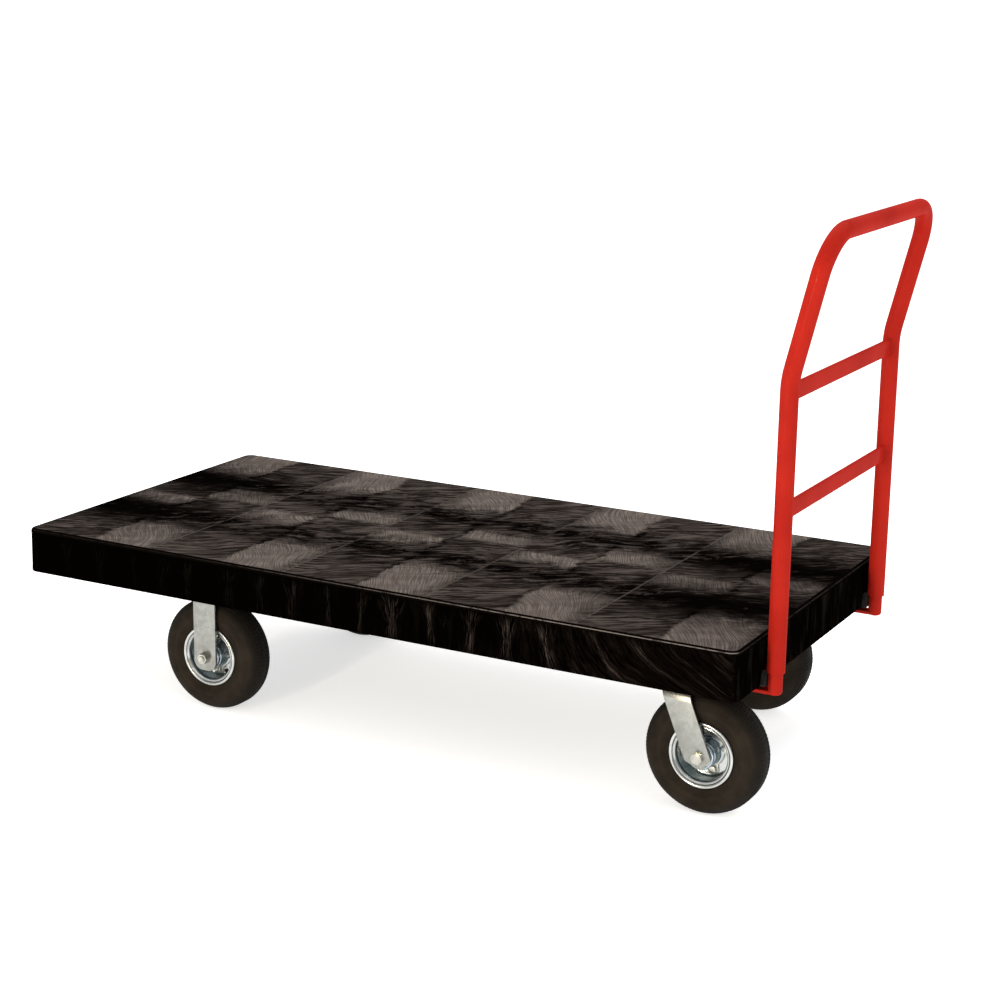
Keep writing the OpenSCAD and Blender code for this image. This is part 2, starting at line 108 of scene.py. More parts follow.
def arc(cx, cy, radius, start, end, steps):
    """Points on an arc, from start to end in degrees."""
    t = np.radians(np.linspace(start, end, steps))
    return [(cx + radius * math.cos(a), cy + radius * math.sin(a)) for a in t]


def frames_along(path):
    """Two unit vectors square to a path at each of its points, with no twist between them."""
    path = np.array(path, float)
    tangent = np.gradient(path, axis=0)
    tangent /= np.linalg.norm(tangent, axis=1)[:, None]
    side = np.cross(tangent[0], (0.31, 0.17, 0.93))
    sides = []
    for t in tangent:
        side = side - t * np.dot(side, t)
        side /= np.linalg.norm(side)
        sides.append(side)
    sides = np.array(sides)
    return path, sides, np.cross(tangent, sides)


def sweep(name, path, radius, bore, steps):
    """A round tube along an open path."""
    path, u, v = frames_along(path)
    a = np.arange(steps) / steps * TAU
    circle = np.cos(a)[None, :, None] * u[:, None, :] + np.sin(a)[None, :, None] * v[:, None, :]
    points = np.vstack([(path[:, None, :] + r * circle).reshape(-1, 3) for r in (radius, bore)])
    skin = grid_faces(len(path), steps)
    shift, last = len(path) * steps, (len(path) - 1) * steps
    faces = skin + [tuple(shift + i for i in f[::-1]) for f in skin]
    for j in range(steps):
        k = (j + 1) % steps
        faces.append((k, j, shift + j, shift + k))
        faces.append((last + j, last + k, shift + last + k, shift + last + j))
    return make_mesh(name, points, faces)


def prism(name, outline, depth):
    """A flat outline in XY, drawn out along +Z."""
    n = len(outline)
    points = [(x, y, z) for z in (0, depth) for x, y in outline]
    faces = [tuple(range(n))[::-1], tuple(range(n, 2 * n))]
    faces += [(i, (i + 1) % n, n + (i + 1) % n, n + i) for i in range(n)]
    return make_mesh(name, points, faces)


def bevelled(piece, width, segments, angle=30.0):
    """Rounds a piece's edges and applies the change."""
    bevel = piece.modifiers.new("bevel", "BEVEL")
    bevel.width = width
    bevel.segments = segments
    bevel.limit_method = "ANGLE"
    bevel.angle_limit = math.radians(angle)
    bevel.harden_normals = False
    bpy.context.view_layer.update()
    graph = bpy.context.evaluated_depsgraph_get()
    mesh = bpy.data.meshes.new_from_object(piece.evaluated_get(graph))
    piece.modifiers.clear()
    piece.data = mesh
    mesh.shade_smooth()
    mesh.set_sharp_from_angle(angle=math.radians(40))
    return piece


def mesh_of(bm, name):
    """The mesh of a finished bmesh."""
    mesh = bpy.data.meshes.new(name)
    bm.to_mesh(mesh)
    bm.free()
    return mesh


def joined(name, meshes):
    """One mesh from several, or from several (mesh, matrix) pairs."""
    bm = bmesh.new()
    for item in meshes:
        mesh, matrix = item if isinstance(item, tuple) else (item, Matrix())
        part = bmesh.new()
        part.from_mesh(mesh)
        part.transform(matrix)
        spare = mesh_of(part, "spare")
        bm.from_mesh(spare)
        bpy.data.meshes.remove(spare)
    return mesh_of(bm, name)


def rounded_copy(node, width, segments):
    """A CAD node's shape with its flat faces made whole and its edges rounded."""
    bm = bmesh.new()
    bm.from_mesh(frame["nodes"][node].data)
    bmesh.ops.remove_doubles(bm, verts=bm.verts, dist=2e-6)
    bmesh.ops.dissolve_limit(bm, angle_limit=math.radians(1.0), verts=bm.verts, edges=bm.edges)
    return bevelled(add_object("v_" + node, mesh_of(bm, "v_" + node)), width, segments, 25.0)


def paint(piece, material):
    piece.data.materials.clear()
    piece.data.materials.append(material)


def place(piece, material, body, slot, *nodes):
    """Paints a piece, rides it on its body and hides the nodes it stands for; slot is not used."""
    paint(piece, material)
    settle(piece, body, slot, *nodes)


def settle(piece, body, slot, *nodes):
    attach(piece, body)
    if nodes:
        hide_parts(*nodes)


# ---------------- material helpers


class Value:
    """What a node puts out, so that Math nodes can be written as plain sums."""

    def __init__(self, nodes, socket):
        self.nodes, self.socket = nodes, socket

    def __add__(self, other):
        return self.nodes.math("ADD", self, other)

    def __mul__(self, other):
        return self.nodes.math("MULTIPLY", self, other)

    def __sub__(self, other):
        return self.nodes.math("SUBTRACT", self, other)

    def __rsub__(self, other):
        return self.nodes.math("SUBTRACT", other, self)

    def __truediv__(self, other):
        return self.nodes.math("DIVIDE", self, other)

    def __abs__(self):
        return self.nodes.math("ABSOLUTE", self)

    __radd__, __rmul__ = __add__, __mul__


class Tree:
    """A short way to write a node tree."""

    def __init__(self, tree, coords="Object"):
        self.tree = tree
        self.coords = self.value(self.add("ShaderNodeTexCoord").outputs[coords])

    def value(self, socket):
        return Value(self, socket)

    def put(self, socket, value):
        if isinstance(value, Value):
            self.tree.links.new(value.socket, socket)
        else:
            socket.default_value = value

    def add(self, kind, **properties):
        node = self.tree.nodes.new(kind)
        for key, value in properties.items():
            setattr(node, key, value)
        return node

    def math(self, operation, a, b=None, clamp=False):
        node = self.add("ShaderNodeMath", operation=operation, use_clamp=clamp)
        for socket, value in zip(node.inputs, (a, b)):
            if value is not None:
                self.put(socket, value)
        return self.value(node.outputs[0])

    def bell(self, value, sharpness):
        """One where the value is nothing, falling smoothly to nothing on both sides."""
        return self.math("POWER", 2.0, value * value * -sharpness)

    def larger(self, a, b, clamp=False):
        return self.math("MAXIMUM", a, b, clamp)

    def fill(self, node, **sockets):
        """Fills a node's sockets by name, and gives its first output."""
        for name, value in sockets.items():
            self.put(node.inputs[name.replace("_", " ")], value)
        return self.value(node.outputs[0])

    def split(self, vector):
        node = self.add("ShaderNodeSeparateXYZ")
        self.put(node.inputs[0], vector)
        return [self.value(socket) for socket in node.outputs]

    def normal(self):
        return self.split(self.value(self.add("ShaderNodeNewGeometry").outputs["True Normal"]))

    def radius(self):
        """The distance from the Z axis, and the height along it."""
        x, y, z = self.split(self.coords)
        return self.math("SQRT", x * x + y * y), z

    def join(self, x, y, z=0.0):
        return self.fill(self.add("ShaderNodeCombineXYZ"), X=x, Y=y, Z=z)

    def noise(self, vector, scale, detail=2.0, rough=0.5, warp=0.0):
        node = self.add("ShaderNodeTexNoise")
        return self.fill(node, Vector=vector, Scale=scale, Detail=detail, Roughness=rough, Distortion=warp)

    def stretch(self, vector, scale, turn=(0, 0, 0)):
        return self.fill(self.add("ShaderNodeMapping"), Vector=vector, Scale=scale, Rotation=turn)

    def ramp(self, fac, low=0.3, high=0.7, out_low=0.0, out_high=1.0):
        node = self.add("ShaderNodeMapRange", interpolation_type="SMOOTHSTEP")
        return self.fill(node, Value=fac, From_Min=low, From_Max=high, To_Min=out_low, To_Max=out_high)

    def mix(self, fac, a, b):
        node = self.add("ShaderNodeMix", data_type="RGBA")
        for socket, value in ((node.inputs[0], fac), (node.inputs[6], a), (node.inputs[7], b)):
            self.put(socket, (*value, 1.0) if isinstance(value, tuple) else value)
        return self.value(node.outputs[2])

    def bump(self, height, strength, distance):
        return self.fill(self.add("ShaderNodeBump"), Strength=strength, Distance=distance, Height=height)


class Nodes(Tree):
    """The tree of a new material, which ends in one Principled shader."""

    def __init__(self, name, **sockets):
        self.material = bpy.data.materials.new(name)
        self.material.use_nodes = True
        super().__init__(self.material.node_tree)
        self.shader = self.tree.nodes["Principled BSDF"]
        for socket, value in sockets.items():
            self.shader.inputs[socket.replace("_", " ")].default_value = value

    def finish(self, color, roughness=None, normal=None):
        for key, value in (("Base Color", color), ("Roughness", roughness), ("Normal", normal)):
            if value is not None:
                self.put(self.shader.inputs[key], value)
        return self.material


# ---------------- materials

DECK_LO, DECK_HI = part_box("deck")
DECK_L = 1.524
DECK_W = DECK_HI.y - DECK_LO.y
DECK_X = DECK_LO.x + DECK_L / 2
DECK_TOP = DECK_HI.z
SKIRT_H = 0.0885
TILE = DECK_L / 5
GATE_Y = 0.138
SHEAF = TILE / 4
FLOW_TURN = math.radians(30)


def deck_top_material():
    """Black resin with flow marks: pale quarters painted with the sheen the flow lines catch, long strokes
    and torn dark lines at the gates.
    """
    n = Nodes("deck_top", Specular_IOR_Level=0.0)
    x, y, _ = n.split(n.coords)
    turned = n.stretch(n.coords, (1, 1, 1), (0.4, 0.2, 1.3))
    wide = n.noise(n.coords, 9.0, 2.0, 0.5) - 0.5
    wide_b = n.noise(turned, 10.0, 2.0, 0.5) - 0.5
    bend = n.noise(n.coords, 7.0, 0.0) - 0.5
    bend_b = n.noise(turned, 8.0, 0.0) - 0.5
    fray = n.noise(n.stretch(n.coords, (0.5, 1, 1), (0.1, 0.3, 0.5)), 85.0, 5.0, 0.75) - 0.5
    # place inside a tile, about its gate
    step = (x - (DECK_X - TILE * 20.5)) / TILE
    lx = (n.math("FRACT", step) - 0.5) * TILE
    cell = n.math("FLOOR", step) * 0.37
    side = n.math("SIGN", y + 0.0001)
    ly = y - side * GATE_Y
    far_x, far_y = abs(lx), abs(ly)
    lx_soft = lx + wide * 0.05 + fray * 0.028
    ly_soft = ly + wide_b * 0.1 + fray * 0.07
    half_x = n.ramp(lx_soft, -0.014, 0.014, -1.0, 1.0)
    half_y = n.ramp(ly_soft, -0.024, 0.024, -1.0, 1.0)
    middle = n.ramp(abs(y + wide * 0.02) + fray * 0.04, -0.004, 0.026)
    parity = half_x * half_y * -1.0 * middle
    away = n.ramp(abs(ly_soft), 0.03, 0.088)
    weld_in = n.ramp(abs(lx_soft), TILE / 2 + 0.01, TILE / 2 - 0.04, 0.3, 1.0)
    # painted sheen mask: the quarters of each tile where the flow lines catch the light
    sheen_patch = n.ramp(parity, 0.0, 1.0) * (away * weld_in)
    # short hairs across the quarters with painted sheen, long strokes the other way elsewhere
    flow_x, flow_y = lx + bend_b * 0.06, ly + bend * 0.06
    along = flow_x * math.cos(FLOW_TURN) + flow_y * math.sin(FLOW_TURN)
    across = flow_y * math.cos(FLOW_TURN) - flow_x * math.sin(FLOW_TURN)
    hairs = n.noise(n.join(along, across * 0.03, cell), 470.0, 2.5, 0.6)
    strokes = n.noise(n.join(along * 0.12, across, cell), 150.0, 3.0, 0.62)
    streaks = n.noise(n.join(along * 0.16, across, 3.0), 27.0, 3.0, 0.6)
    # the smear along each row of gates, and the torn line down each tile's middle
    swirl = n.noise(n.join(along * 0.36, across, cell), 44.0, 5.0, 0.74, 0.4)
    near, around = n.bell(ly_soft / 0.075, 1.3), n.bell(ly_soft / 0.075, 0.45)
    tear = n.bell((lx + (wide * 0.085 + fray * 0.055)) / n.ramp(far_y, 0.01, 0.12, 0.017, 0.005), 1.0)
    tear = tear * n.ramp(far_y, 0.05, 0.2, 1.0, 0.35)
    ends = n.ramp(abs(x - (DECK_X - 0.02)) + wide * 0.25, 0.38, 0.62)
    smear = near * n.ramp(swirl + ends * 0.14, 0.46, 0.53)
    blots = n.ramp(swirl, 0.51, 0.57) * around * (1.0 - sheen_patch * 0.8)
    torn = tear * n.ramp(swirl, 0.38, 0.54, 0.25, 1.15)
    rim_part = sheen_patch * (1.0 - sheen_patch) * n.ramp(streaks, 0.44, 0.6, 0.0, 1.6)
    dark = n.larger(n.larger(smear, torn), n.larger(blots * 0.95, rim_part), clamp=True)
    weld = n.bell((far_x - (TILE / 2 - 0.0009)) / 0.0011, 1.5)
    weld = weld * n.ramp(wide_b + fray * 0.5, -0.14, 0.12, 0.04, 0.32)
    # colour
    grooved = n.mix(n.ramp(strokes, 0.4, 0.6), (0.01, 0.0074, 0.0063), (0.084, 0.0685, 0.061))
    grooved = n.mix(n.ramp(streaks, 0.56, 0.4, 0.0, 0.6), grooved, (0.0105, 0.0078, 0.0066))
    grooved = n.mix(near * 0.4, grooved, (0.009, 0.0066, 0.0056))
    # painted sheen: the pale colour of those quarters stands for reflected light
    combed_sheen = n.mix(n.ramp(hairs, 0.38, 0.64), (0.074, 0.061, 0.054), (0.165, 0.137, 0.1225))
    combed_sheen = n.mix(n.ramp(streaks, 0.58, 0.4, 0.0, 0.35), combed_sheen, (0.06, 0.048, 0.043))
    tone = n.mix(sheen_patch, grooved, combed_sheen)
    soot = n.mix(n.ramp(strokes, 0.56, 0.72), (0.001, 0.0006, 0.0005), (0.03, 0.024, 0.021))
    tone = n.mix(dark, tone, soot)
    tone = n.mix(ends * around * n.ramp(swirl, 0.38, 0.54, 0.3, 0.92), tone, (0.0012, 0.0008, 0.0006))
    tone = n.mix(weld, tone, (0.14, 0.12, 0.11))
    height = strokes * 0.8 + (hairs * 0.4 + swirl * near * 1.4)
    return n.finish(tone, n.ramp(strokes, 0.35, 0.65, 0.7, 0.55), n.bump(height, 0.45, 0.0008))


def deck_side_material():
    """The skirt: near-black resin with pale sheaves of fine lines at about even steps."""
    n = Nodes("deck_side", Specular_IOR_Level=0.0)
    x, y, z = n.split(n.coords)
    end = n.ramp(abs(n.normal()[0]), 0.6, 0.8)
    flank = 1.0 - end
    rx = x - DECK_X
    grow = n.math("POWER", n.ramp(rx, -0.8, 0.46), 2.3)
    rise = (z - (DECK_TOP - SKIRT_H)) / SKIRT_H
    fall = n.math("POWER", n.math("SUBTRACT", 1.001, rise, clamp=True), 1.35)
    wander = n.noise(n.coords, 9.0, 3.0) - 0.5
    shiver = n.noise(n.stretch(n.coords, (1, 1, 0.6)), 48.0, 3.0) - 0.5
    sweep_part = n.ramp(rx, 0.3, 0.56) * flank
    lean = n.ramp(rx, 0.34, 0.72, 0.0, -0.135) * fall
    along = rx + lean * flank + (wander * 0.03 + shiver * 0.009)
    along = along * flank + y * end
    step = (along + (40 * SHEAF + 0.012)) / SHEAF
    cell = n.math("FLOOR", step)
    luck = n.noise(n.join(cell * 3.71, 0.0, end), 1.0, 0.0)
    luck_b = n.noise(n.join(cell * 5.13, 4.0, end), 1.0, 0.0)
    local = n.math("FRACT", step) - 0.5 + (luck_b - 0.5) * 0.8
    neck = rise + (luck - 0.5) * 0.6 - 0.3
    fan = local / (0.42 + neck * neck * 1.7)
    hair = n.noise(n.join(fan * 2.4 + cell * 7.31, rise * 0.24, end), 9.0, 2.5, 0.62)
    core = n.bell(fan / (n.ramp(luck, 0.35, 0.65, 0.13, 0.34) * (1.0 - sweep_part * 0.62)), 1.0)
    fade = n.ramp(rise, 0.0, 0.22, 0.25, 1.0) * n.ramp(rise, 0.99, 0.62)
    sheaf = n.ramp(hair + core * 0.05, 0.52, 0.65) * core * fade
    bright = n.ramp(luck_b, 0.32, 0.64, 0.3, 1.0)
    sheaf = sheaf * (0.05 + grow * 0.95 * bright)
    stray = n.noise(n.join(along + shiver * 0.02, z * 0.1, 2.0), 210.0, 3.0, 0.7)
    cluster = n.ramp(n.noise(n.join(along, z * 0.4, 5.0), 26.0, 2.0), 0.46, 0.62)
    stray = n.ramp(stray, 0.56, 0.7) * cluster * (grow * 0.12)
    soft = n.ramp(n.noise(n.join(along, z * 0.18, end), 40.0, 4.0, 0.62), 0.46, 0.72)
    fur = n.noise(n.join(along + wander * 0.05, z * 0.16, 0.0), 420.0, 3.0, 0.7)
    down = n.noise(n.join(along, rise * 0.012, 8.0), 300.0, 2.0, 0.6)
    tone = n.mix(grow * soft, (0.0005, 0.0003, 0.0002), (0.0034, 0.0023, 0.0018))
    swept = sweep_part * n.ramp(down, 0.42, 0.62) * n.ramp(soft, 0.0, 1.0, 0.25, 0.9)
    tone = n.mix(swept, tone, (0.0125, 0.0092, 0.0074))
    face = n.mix(soft, (0.0008, 0.0006, 0.0004), (0.008, 0.0062, 0.005))
    tone = n.mix(end, tone, face)
    light = n.larger(sheaf, stray) * (n.ramp(rx, 0.755, 0.725) * (1.0 - end * 0.88))
    tone = n.mix(light, tone, (0.046, 0.0365, 0.031))
    tone = n.mix(n.ramp(fur, 0.52, 0.4, 0.0, 0.5), tone, (0.0006, 0.0004, 0.0003))
    return n.finish(tone, n.ramp(fur, 0.3, 0.7, 0.75, 0.6), n.bump(fur * 0.5 + sheaf, 0.4, 0.001))


def deck_edge_material():
    """The rounded edge of the load face: near-black, with a painted highlight along its top that is broken
    up, strongest towards the handle end and faint on the ends.
    """
    n = Nodes("deck_edge", Specular_IOR_Level=0.0)
    x = n.split(n.coords)[0]
    _, ny, nz = n.normal()
    # painted highlight: a thin bright band on the rounded edge, picked by the surface normal
    crest_highlight = n.ramp(nz, 0.46, 0.54) * n.ramp(nz, 0.68, 0.6)
    wear_and_highlight_breaks = n.noise(n.stretch(n.coords, (1, 1, 0.3)), 60.0, 4.0, 0.6)
    # the painted highlight grows towards the handle end and fades where the edge turns onto the ends
    highlight_gain = n.ramp(x - DECK_X, -0.4, 0.6, 0.04, 1.0)
    crest_highlight = crest_highlight * n.ramp(wear_and_highlight_breaks, 0.38, 0.52, 0.3, 1.0) * highlight_gain
    crest_highlight = crest_highlight * n.ramp(abs(ny), 0.25, 0.6, 0.12, 1.0)
    tone = n.mix(crest_highlight, (0.002, 0.0014, 0.0011), (0.16, 0.14, 0.125))
    return n.finish(tone, n.ramp(wear_and_highlight_breaks, 0.3, 0.7, 0.5, 0.34), n.bump(wear_and_highlight_breaks, 0.25, 0.0006))


def resin_material(name, specular, grain, cloud, colors, rubbed, rough):
    """Plain moulded resin with rubbed marks along Z. grain and rubbed are pairs of numbers."""
    n = Nodes(name, Specular_IOR_Level=specular)
    marks = n.noise(n.stretch(n.coords, (1, 1, grain[0])), grain[1], 3.0, 0.6)
    tone = n.mix(n.ramp(n.noise(n.coords, cloud, 4.0, 0.6)), colors[0], colors[1])
    tone = n.mix(n.ramp(marks, *rubbed, 0.0, 0.5), tone, colors[2])
    return n.finish(tone, n.ramp(marks, 0.3, 0.7, *rough), n.bump(marks, 0.3, 0.0004))


def red_paint_material():
    """Semi-gloss red powder coat: fine orange peel, slight fading and a few rubbed marks."""
    n = Nodes("red_paint", Specular_IOR_Level=0.0, Coat_Weight=0.05, Coat_Roughness=0.1)
    peel = n.noise(n.coords, 520.0, 2.0, 0.5)
    cloud = n.noise(n.coords, 7.0, 3.0, 0.55)
    scuff = n.noise(n.stretch(n.coords, (1, 1, 0.22)), 90.0, 5.0, 0.7, 0.8)
    tone = n.mix(n.ramp(cloud, 0.32, 0.68), (0.33, 0.013, 0.0075), (0.39, 0.0172, 0.0096))
    tone = n.mix(n.ramp(scuff, 0.64, 0.8, 0.0, 0.45), tone, (0.3, 0.026, 0.014))
    rough = n.ramp(cloud, 0.3, 0.7, 0.3, 0.4) + n.ramp(scuff, 0.58, 0.78, 0.0, 0.18)
    return n.finish(tone, rough, n.bump(peel * 0.8 + scuff * 0.3, 0.18, 0.0006))


def zinc_material(name, light, shade, roughness, marks, brush=(1, 1, 1), metal=1.0):
    """Zinc plate: faint cloudy spangle, drawn scratches and dull patches."""
    n = Nodes(name, Metallic=metal, Specular_IOR_Level=0.5)
    cloud = n.noise(n.coords, 42.0, 5.0, 0.62, 0.6)
    fine = n.noise(n.stretch(n.coords, brush), 420.0, 4.0, 0.7)
    spot = n.noise(n.coords, 190.0, 3.0, 0.6)
    tone = n.mix(n.ramp(cloud), shade, light)
    tone = n.mix(n.ramp(fine, 0.58, 0.78, 0.0, marks), tone, tuple(0.55 * c for c in shade))
    tone = n.mix(n.ramp(spot, 0.7, 0.82, 0.0, marks), tone, (0.24, 0.2, 0.16))
    rough = n.ramp(cloud, 0.3, 0.7, roughness + 0.06, roughness - 0.03) + n.ramp(fine, 0.5, 0.8, 0.0, 0.1)
    return n.finish(tone, rough, n.bump(fine * 0.6 + cloud * 0.5, 0.1, 0.0004))


def rim_material():
    """Bright rolled lip and disc around a wall painted darker and bluer as the shade and dark reflections
    inside the rim, split by the distance from the axle.
    """
    n = Nodes("rim_zinc", Metallic=0.92)
    radius, z = n.radius()
    cloud = n.noise(n.coords, 30.0, 4.0, 0.6)
    fine = n.noise(n.join(radius * 3.0, z, 0.0), 380.0, 3.0, 0.6)
    place_r = radius + (cloud - 0.5) * 0.0012
    lip, disc = n.ramp(place_r, 0.0484, 0.0506), n.ramp(place_r, 0.046, 0.044)
    # painted shade: the wall inside the rim is darker and bluer than the lip and disc
    wall = n.mix(n.ramp(cloud), (0.2, 0.24, 0.25), (0.29, 0.335, 0.345))
    bright = n.mix(n.ramp(cloud), (0.42, 0.43, 0.42), (0.55, 0.56, 0.55))
    bright = n.mix(n.ramp(fine, 0.56, 0.74, 0.0, 0.5), bright, (0.28, 0.29, 0.29))
    tone = n.mix(lip, n.mix(disc, wall, (0.5, 0.52, 0.51)), bright)
    return n.finish(tone, n.ramp(cloud, 0.3, 0.7, 0.27, 0.18), n.bump(fine, 0.1, 0.0003))


def hub_material():
    """Dark blued barrel of the hub, and its paler pressed flange."""
    n = Nodes("hub_zinc", Metallic=0.88)
    radius, _ = n.radius()
    cloud = n.noise(n.coords, 36.0, 4.0, 0.6)
    fine = n.noise(n.stretch(n.coords, (1, 1, 4)), 420.0, 3.0, 0.65)
    flange = n.ramp(radius + (fine - 0.5) * 0.0006, 0.0268, 0.028)
    barrel = n.mix(n.ramp(cloud), (0.3, 0.37, 0.42), (0.46, 0.54, 0.6))
    plate = n.mix(n.ramp(cloud), (0.46, 0.48, 0.46), (0.6, 0.62, 0.6))
    tone = n.mix(flange, barrel, plate)
    tone = n.mix(n.ramp(fine, 0.6, 0.78, 0.0, 0.3), tone, (0.2, 0.21, 0.21))
    rough = n.ramp(flange, 0.0, 1.0, 0.15, 0.34) + n.ramp(fine, 0.5, 0.8, 0.0, 0.08)
    return n.finish(tone, rough, n.bump(fine, 0.08, 0.0003))


def tyre_material():
    """Black rubber, dusty brown on the flanks, with faint moulding rings and a blacker tread."""
    n = Nodes("tyre_rubber", Specular_IOR_Level=0.06)
    radius, z = n.radius()
    rings = n.noise(n.join(radius, z * 0.6, 0.0), 420.0, 3.0, 0.6)
    dust = n.noise(n.coords, 24.0, 5.0, 0.62)
    grit = n.noise(n.coords, 640.0, 2.0, 0.6)
    tread = n.ramp(radius, 0.096, 0.106)
    tone = n.mix(n.ramp(dust), (0.011, 0.0086, 0.0062), (0.0195, 0.0145, 0.0098))
    tone = n.mix(n.ramp(rings, 0.5, 0.72, 0.0, 0.4), tone, (0.03, 0.022, 0.015))
    tone = n.mix(tread * 0.75, tone, (0.0078, 0.007, 0.006))
    tone = n.mix(n.ramp(grit, 0.62, 0.75, 0.0, 0.25), tone, (0.04, 0.032, 0.024))
    return n.finish(tone, n.ramp(dust, 0.3, 0.7, 0.76, 0.6), n.bump(rings + grit * 0.5, 0.25, 0.0005))


def steel_material(name, light, shade, roughness):
    """Ground or cast steel inside the bearings and under the deck."""
    n = Nodes(name, Metallic=0.9)
    cloud = n.noise(n.coords, 60.0, 4.0, 0.6)
    grind = n.noise(n.stretch(n.coords, (1, 1, 0.1)), 700.0, 2.0, 0.6)
    tone = n.mix(n.ramp(cloud), shade, light)
    rough = n.ramp(grind, 0.3, 0.7, roughness - 0.07, roughness + 0.1)
    return n.finish(tone, rough, n.bump(grind, 0.2, 0.0003))


def channel_material():
    """Black dip paint on the cross channels, thin and chipped at random."""
    n = Nodes("channel_paint", Specular_IOR_Level=0.4)
    chips = n.noise(n.coords, 70.0, 6.0, 0.7)
    runs = n.noise(n.stretch(n.coords, (1, 0.2, 1)), 60.0, 3.0, 0.5)
    tone = n.mix(n.ramp(runs), (0.01, 0.01, 0.0105), (0.022, 0.021, 0.021))
    tone = n.mix(n.ramp(chips, 0.7, 0.76), tone, (0.17, 0.12, 0.09))
    return n.finish(tone, n.ramp(runs, 0.3, 0.7, 0.3, 0.48), n.bump(runs + chips, 0.2, 0.0005))


M_TOP = deck_top_material()
M_SIDE = deck_side_material()
M_EDGE = deck_edge_material()
INSIDE_COLORS = (0.01, 0.0085, 0.0075), (0.026, 0.022, 0.0195), (0.045, 0.039, 0.035)
M_INSIDE = resin_material("deck_inside", 0.25, (0.12, 260.0), 12.0, INSIDE_COLORS, (0.5, 0.72), (0.62, 0.45))
LUG_COLORS = (0.013, 0.0118, 0.0105), (0.026, 0.0235, 0.021), (0.05, 0.045, 0.04)
M_LUG = resin_material("deck_lug", 0.1, (0.2, 180.0), 60.0, LUG_COLORS, (0.56, 0.74), (0.66, 0.5))
M_RED = red_paint_material()
M_FORK = zinc_material("fork_zinc", (0.325, 0.329, 0.309), (0.245, 0.249, 0.23), 0.26, 0.2, (1, 1, 0.2), 0.9)
M_RIM = rim_material()
M_HUB = hub_material()
M_BOLT = zinc_material("bolt_zinc", (0.56, 0.55, 0.49), (0.36, 0.355, 0.32), 0.18, 0.25)
M_TYRE = tyre_material()
M_TUBE = tyre_material()
M_BEARING = steel_material("bearing_steel", (0.5, 0.5, 0.51), (0.36, 0.36, 0.37), 0.32)
M_CHANNEL = channel_material()

# ---------------- deck

EDGE_R = 7 * MM
CORNER_R = 22 * MM
DRAFT = 1.2 * MM
SKIRT_T = 8 * MM
PLATE_T = 12 * MM
RIB_H = 36 * MM
RIB_T = 4 * MM
CELL = 5.0 * MM
LUG_H = 25 * MM
LUG_FOOT = 14 * MM
LUG_TIP = 5 * MM
LUG_ROOT = 2 * MM
PAD_L = 70 * MM
PAD_HALF_W = 22 * MM
END_X = DECK_X + DECK_L / 2
POST_LO, POST_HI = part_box("left_post")
POST_Y = abs(POST_LO.y + POST_HI.y) / 2
TOP, SIDE, EDGE, INSIDE = range(4)


def hash_noise(x, y, seed):
    """Smooth repeatable noise from -1 to 1 on numpy arrays."""
    rng = np.random.default_rng(seed)
    table = rng.uniform(-1, 1, (256, 256))
    ix, iy = np.floor(x).astype(int), np.floor(y).astype(int)
    fx, fy = x - ix, y - iy
    fx, fy = fx * fx * (3 - 2 * fx), fy * fy * (3 - 2 * fy)
    a, b = table[ix % 256, iy % 256], table[(ix + 1) % 256, iy % 256]
    c, d = table[ix % 256, (iy + 1) % 256], table[(ix + 1) % 256, (iy + 1) % 256]
    return (a * (1 - fx) + b * fx) * (1 - fy) + (c * (1 - fx) + d * fx) * fy


def top_relief(x, y):
    """How far the load face lies below its highest plane: swirls at the gates, seams between tiles."""
    lx = (x / TILE + 20.5) % 1.0 - 0.5
    ly = np.abs(y) - GATE_Y
    warp = hash_noise(x / 0.05, y / 0.05, 1) * 0.02
    band = np.exp(-((ly + warp) / 0.055) ** 2)
    swirl = hash_noise(x / 0.016 + warp * 60, y / 0.008, 2) + 0.6 * hash_noise(x / 0.007, y / 0.004, 3)
    seam = np.exp(-((lx * TILE + warp * 0.3) / 0.006) ** 2)
    weld = np.exp(-(((0.5 - np.abs(lx)) * TILE) / 0.003) ** 2)
    depth = 0.18 + 0.42 * band * (0.5 + 0.5 * swirl).clip(0, 1) + 0.3 * seam - 0.16 * weld
    margin = np.minimum(DECK_L / 2 - np.abs(x), DECK_W / 2 - np.abs(y))
    return np.clip(depth, 0, 1) * MM * np.clip((margin - 0.008) / 0.02, 0, 1)


def side_relief(t, z, lean):
    """How far the skirt is cut in: shallow fans at a quarter of a tile."""
    rise = (z - (DECK_TOP - SKIRT_H)) / SKIRT_H
    t = t + lean * np.clip(rise, 0, 1)
    local = (t / SHEAF + 80.0) % 1.0 - 0.5
    fan = local / (0.55 + np.abs(rise - 0.55))
    ridge = np.exp(-((fan / 0.2) ** 2)) * (0.6 + 0.4 * np.sin(fan * 60))
    return (0.55 - 0.45 * ridge) * MM * np.clip(rise * 8, 0, 1) * np.clip((0.97 - rise) * 8, 0, 1)


def deck_outline(inset):
    """Rounded rectangle about the deck's middle as a loop of (x, y, nx, ny), evenly stepped on each side."""
    half_l, half_w, r = DECK_L / 2 - inset, DECK_W / 2 - inset, max(CORNER_R - inset, 1 * MM)
    count_l, count_w, count_c = round(DECK_L / CELL), round(DECK_W / CELL), 9
    loop = []
    for cx, cy, start in ((1, -1, -90), (1, 1, 0), (-1, 1, 90), (-1, -1, 180)):
        for a in np.radians(np.linspace(start, start + 90, count_c)):
            nx, ny = math.cos(a), math.sin(a)
            loop.append((cx * (half_l - r) + r * nx, cy * (half_w - r) + r * ny, nx, ny))
        count = count_w if cx == 1 and cy == -1 or cx == -1 and cy == 1 else count_l
        nx, ny = round(math.cos(math.radians(start + 90))), round(math.sin(math.radians(start + 90)))
        ax, ay = loop[-1][:2]
        ox, oy = -ny, nx
        length = 2 * ((half_w if count == count_w else half_l) - r)
        for k in range(1, count):
            loop.append((ax + ox * length * k / count, ay + oy * length * k / count, nx, ny))
    return np.array(loop)


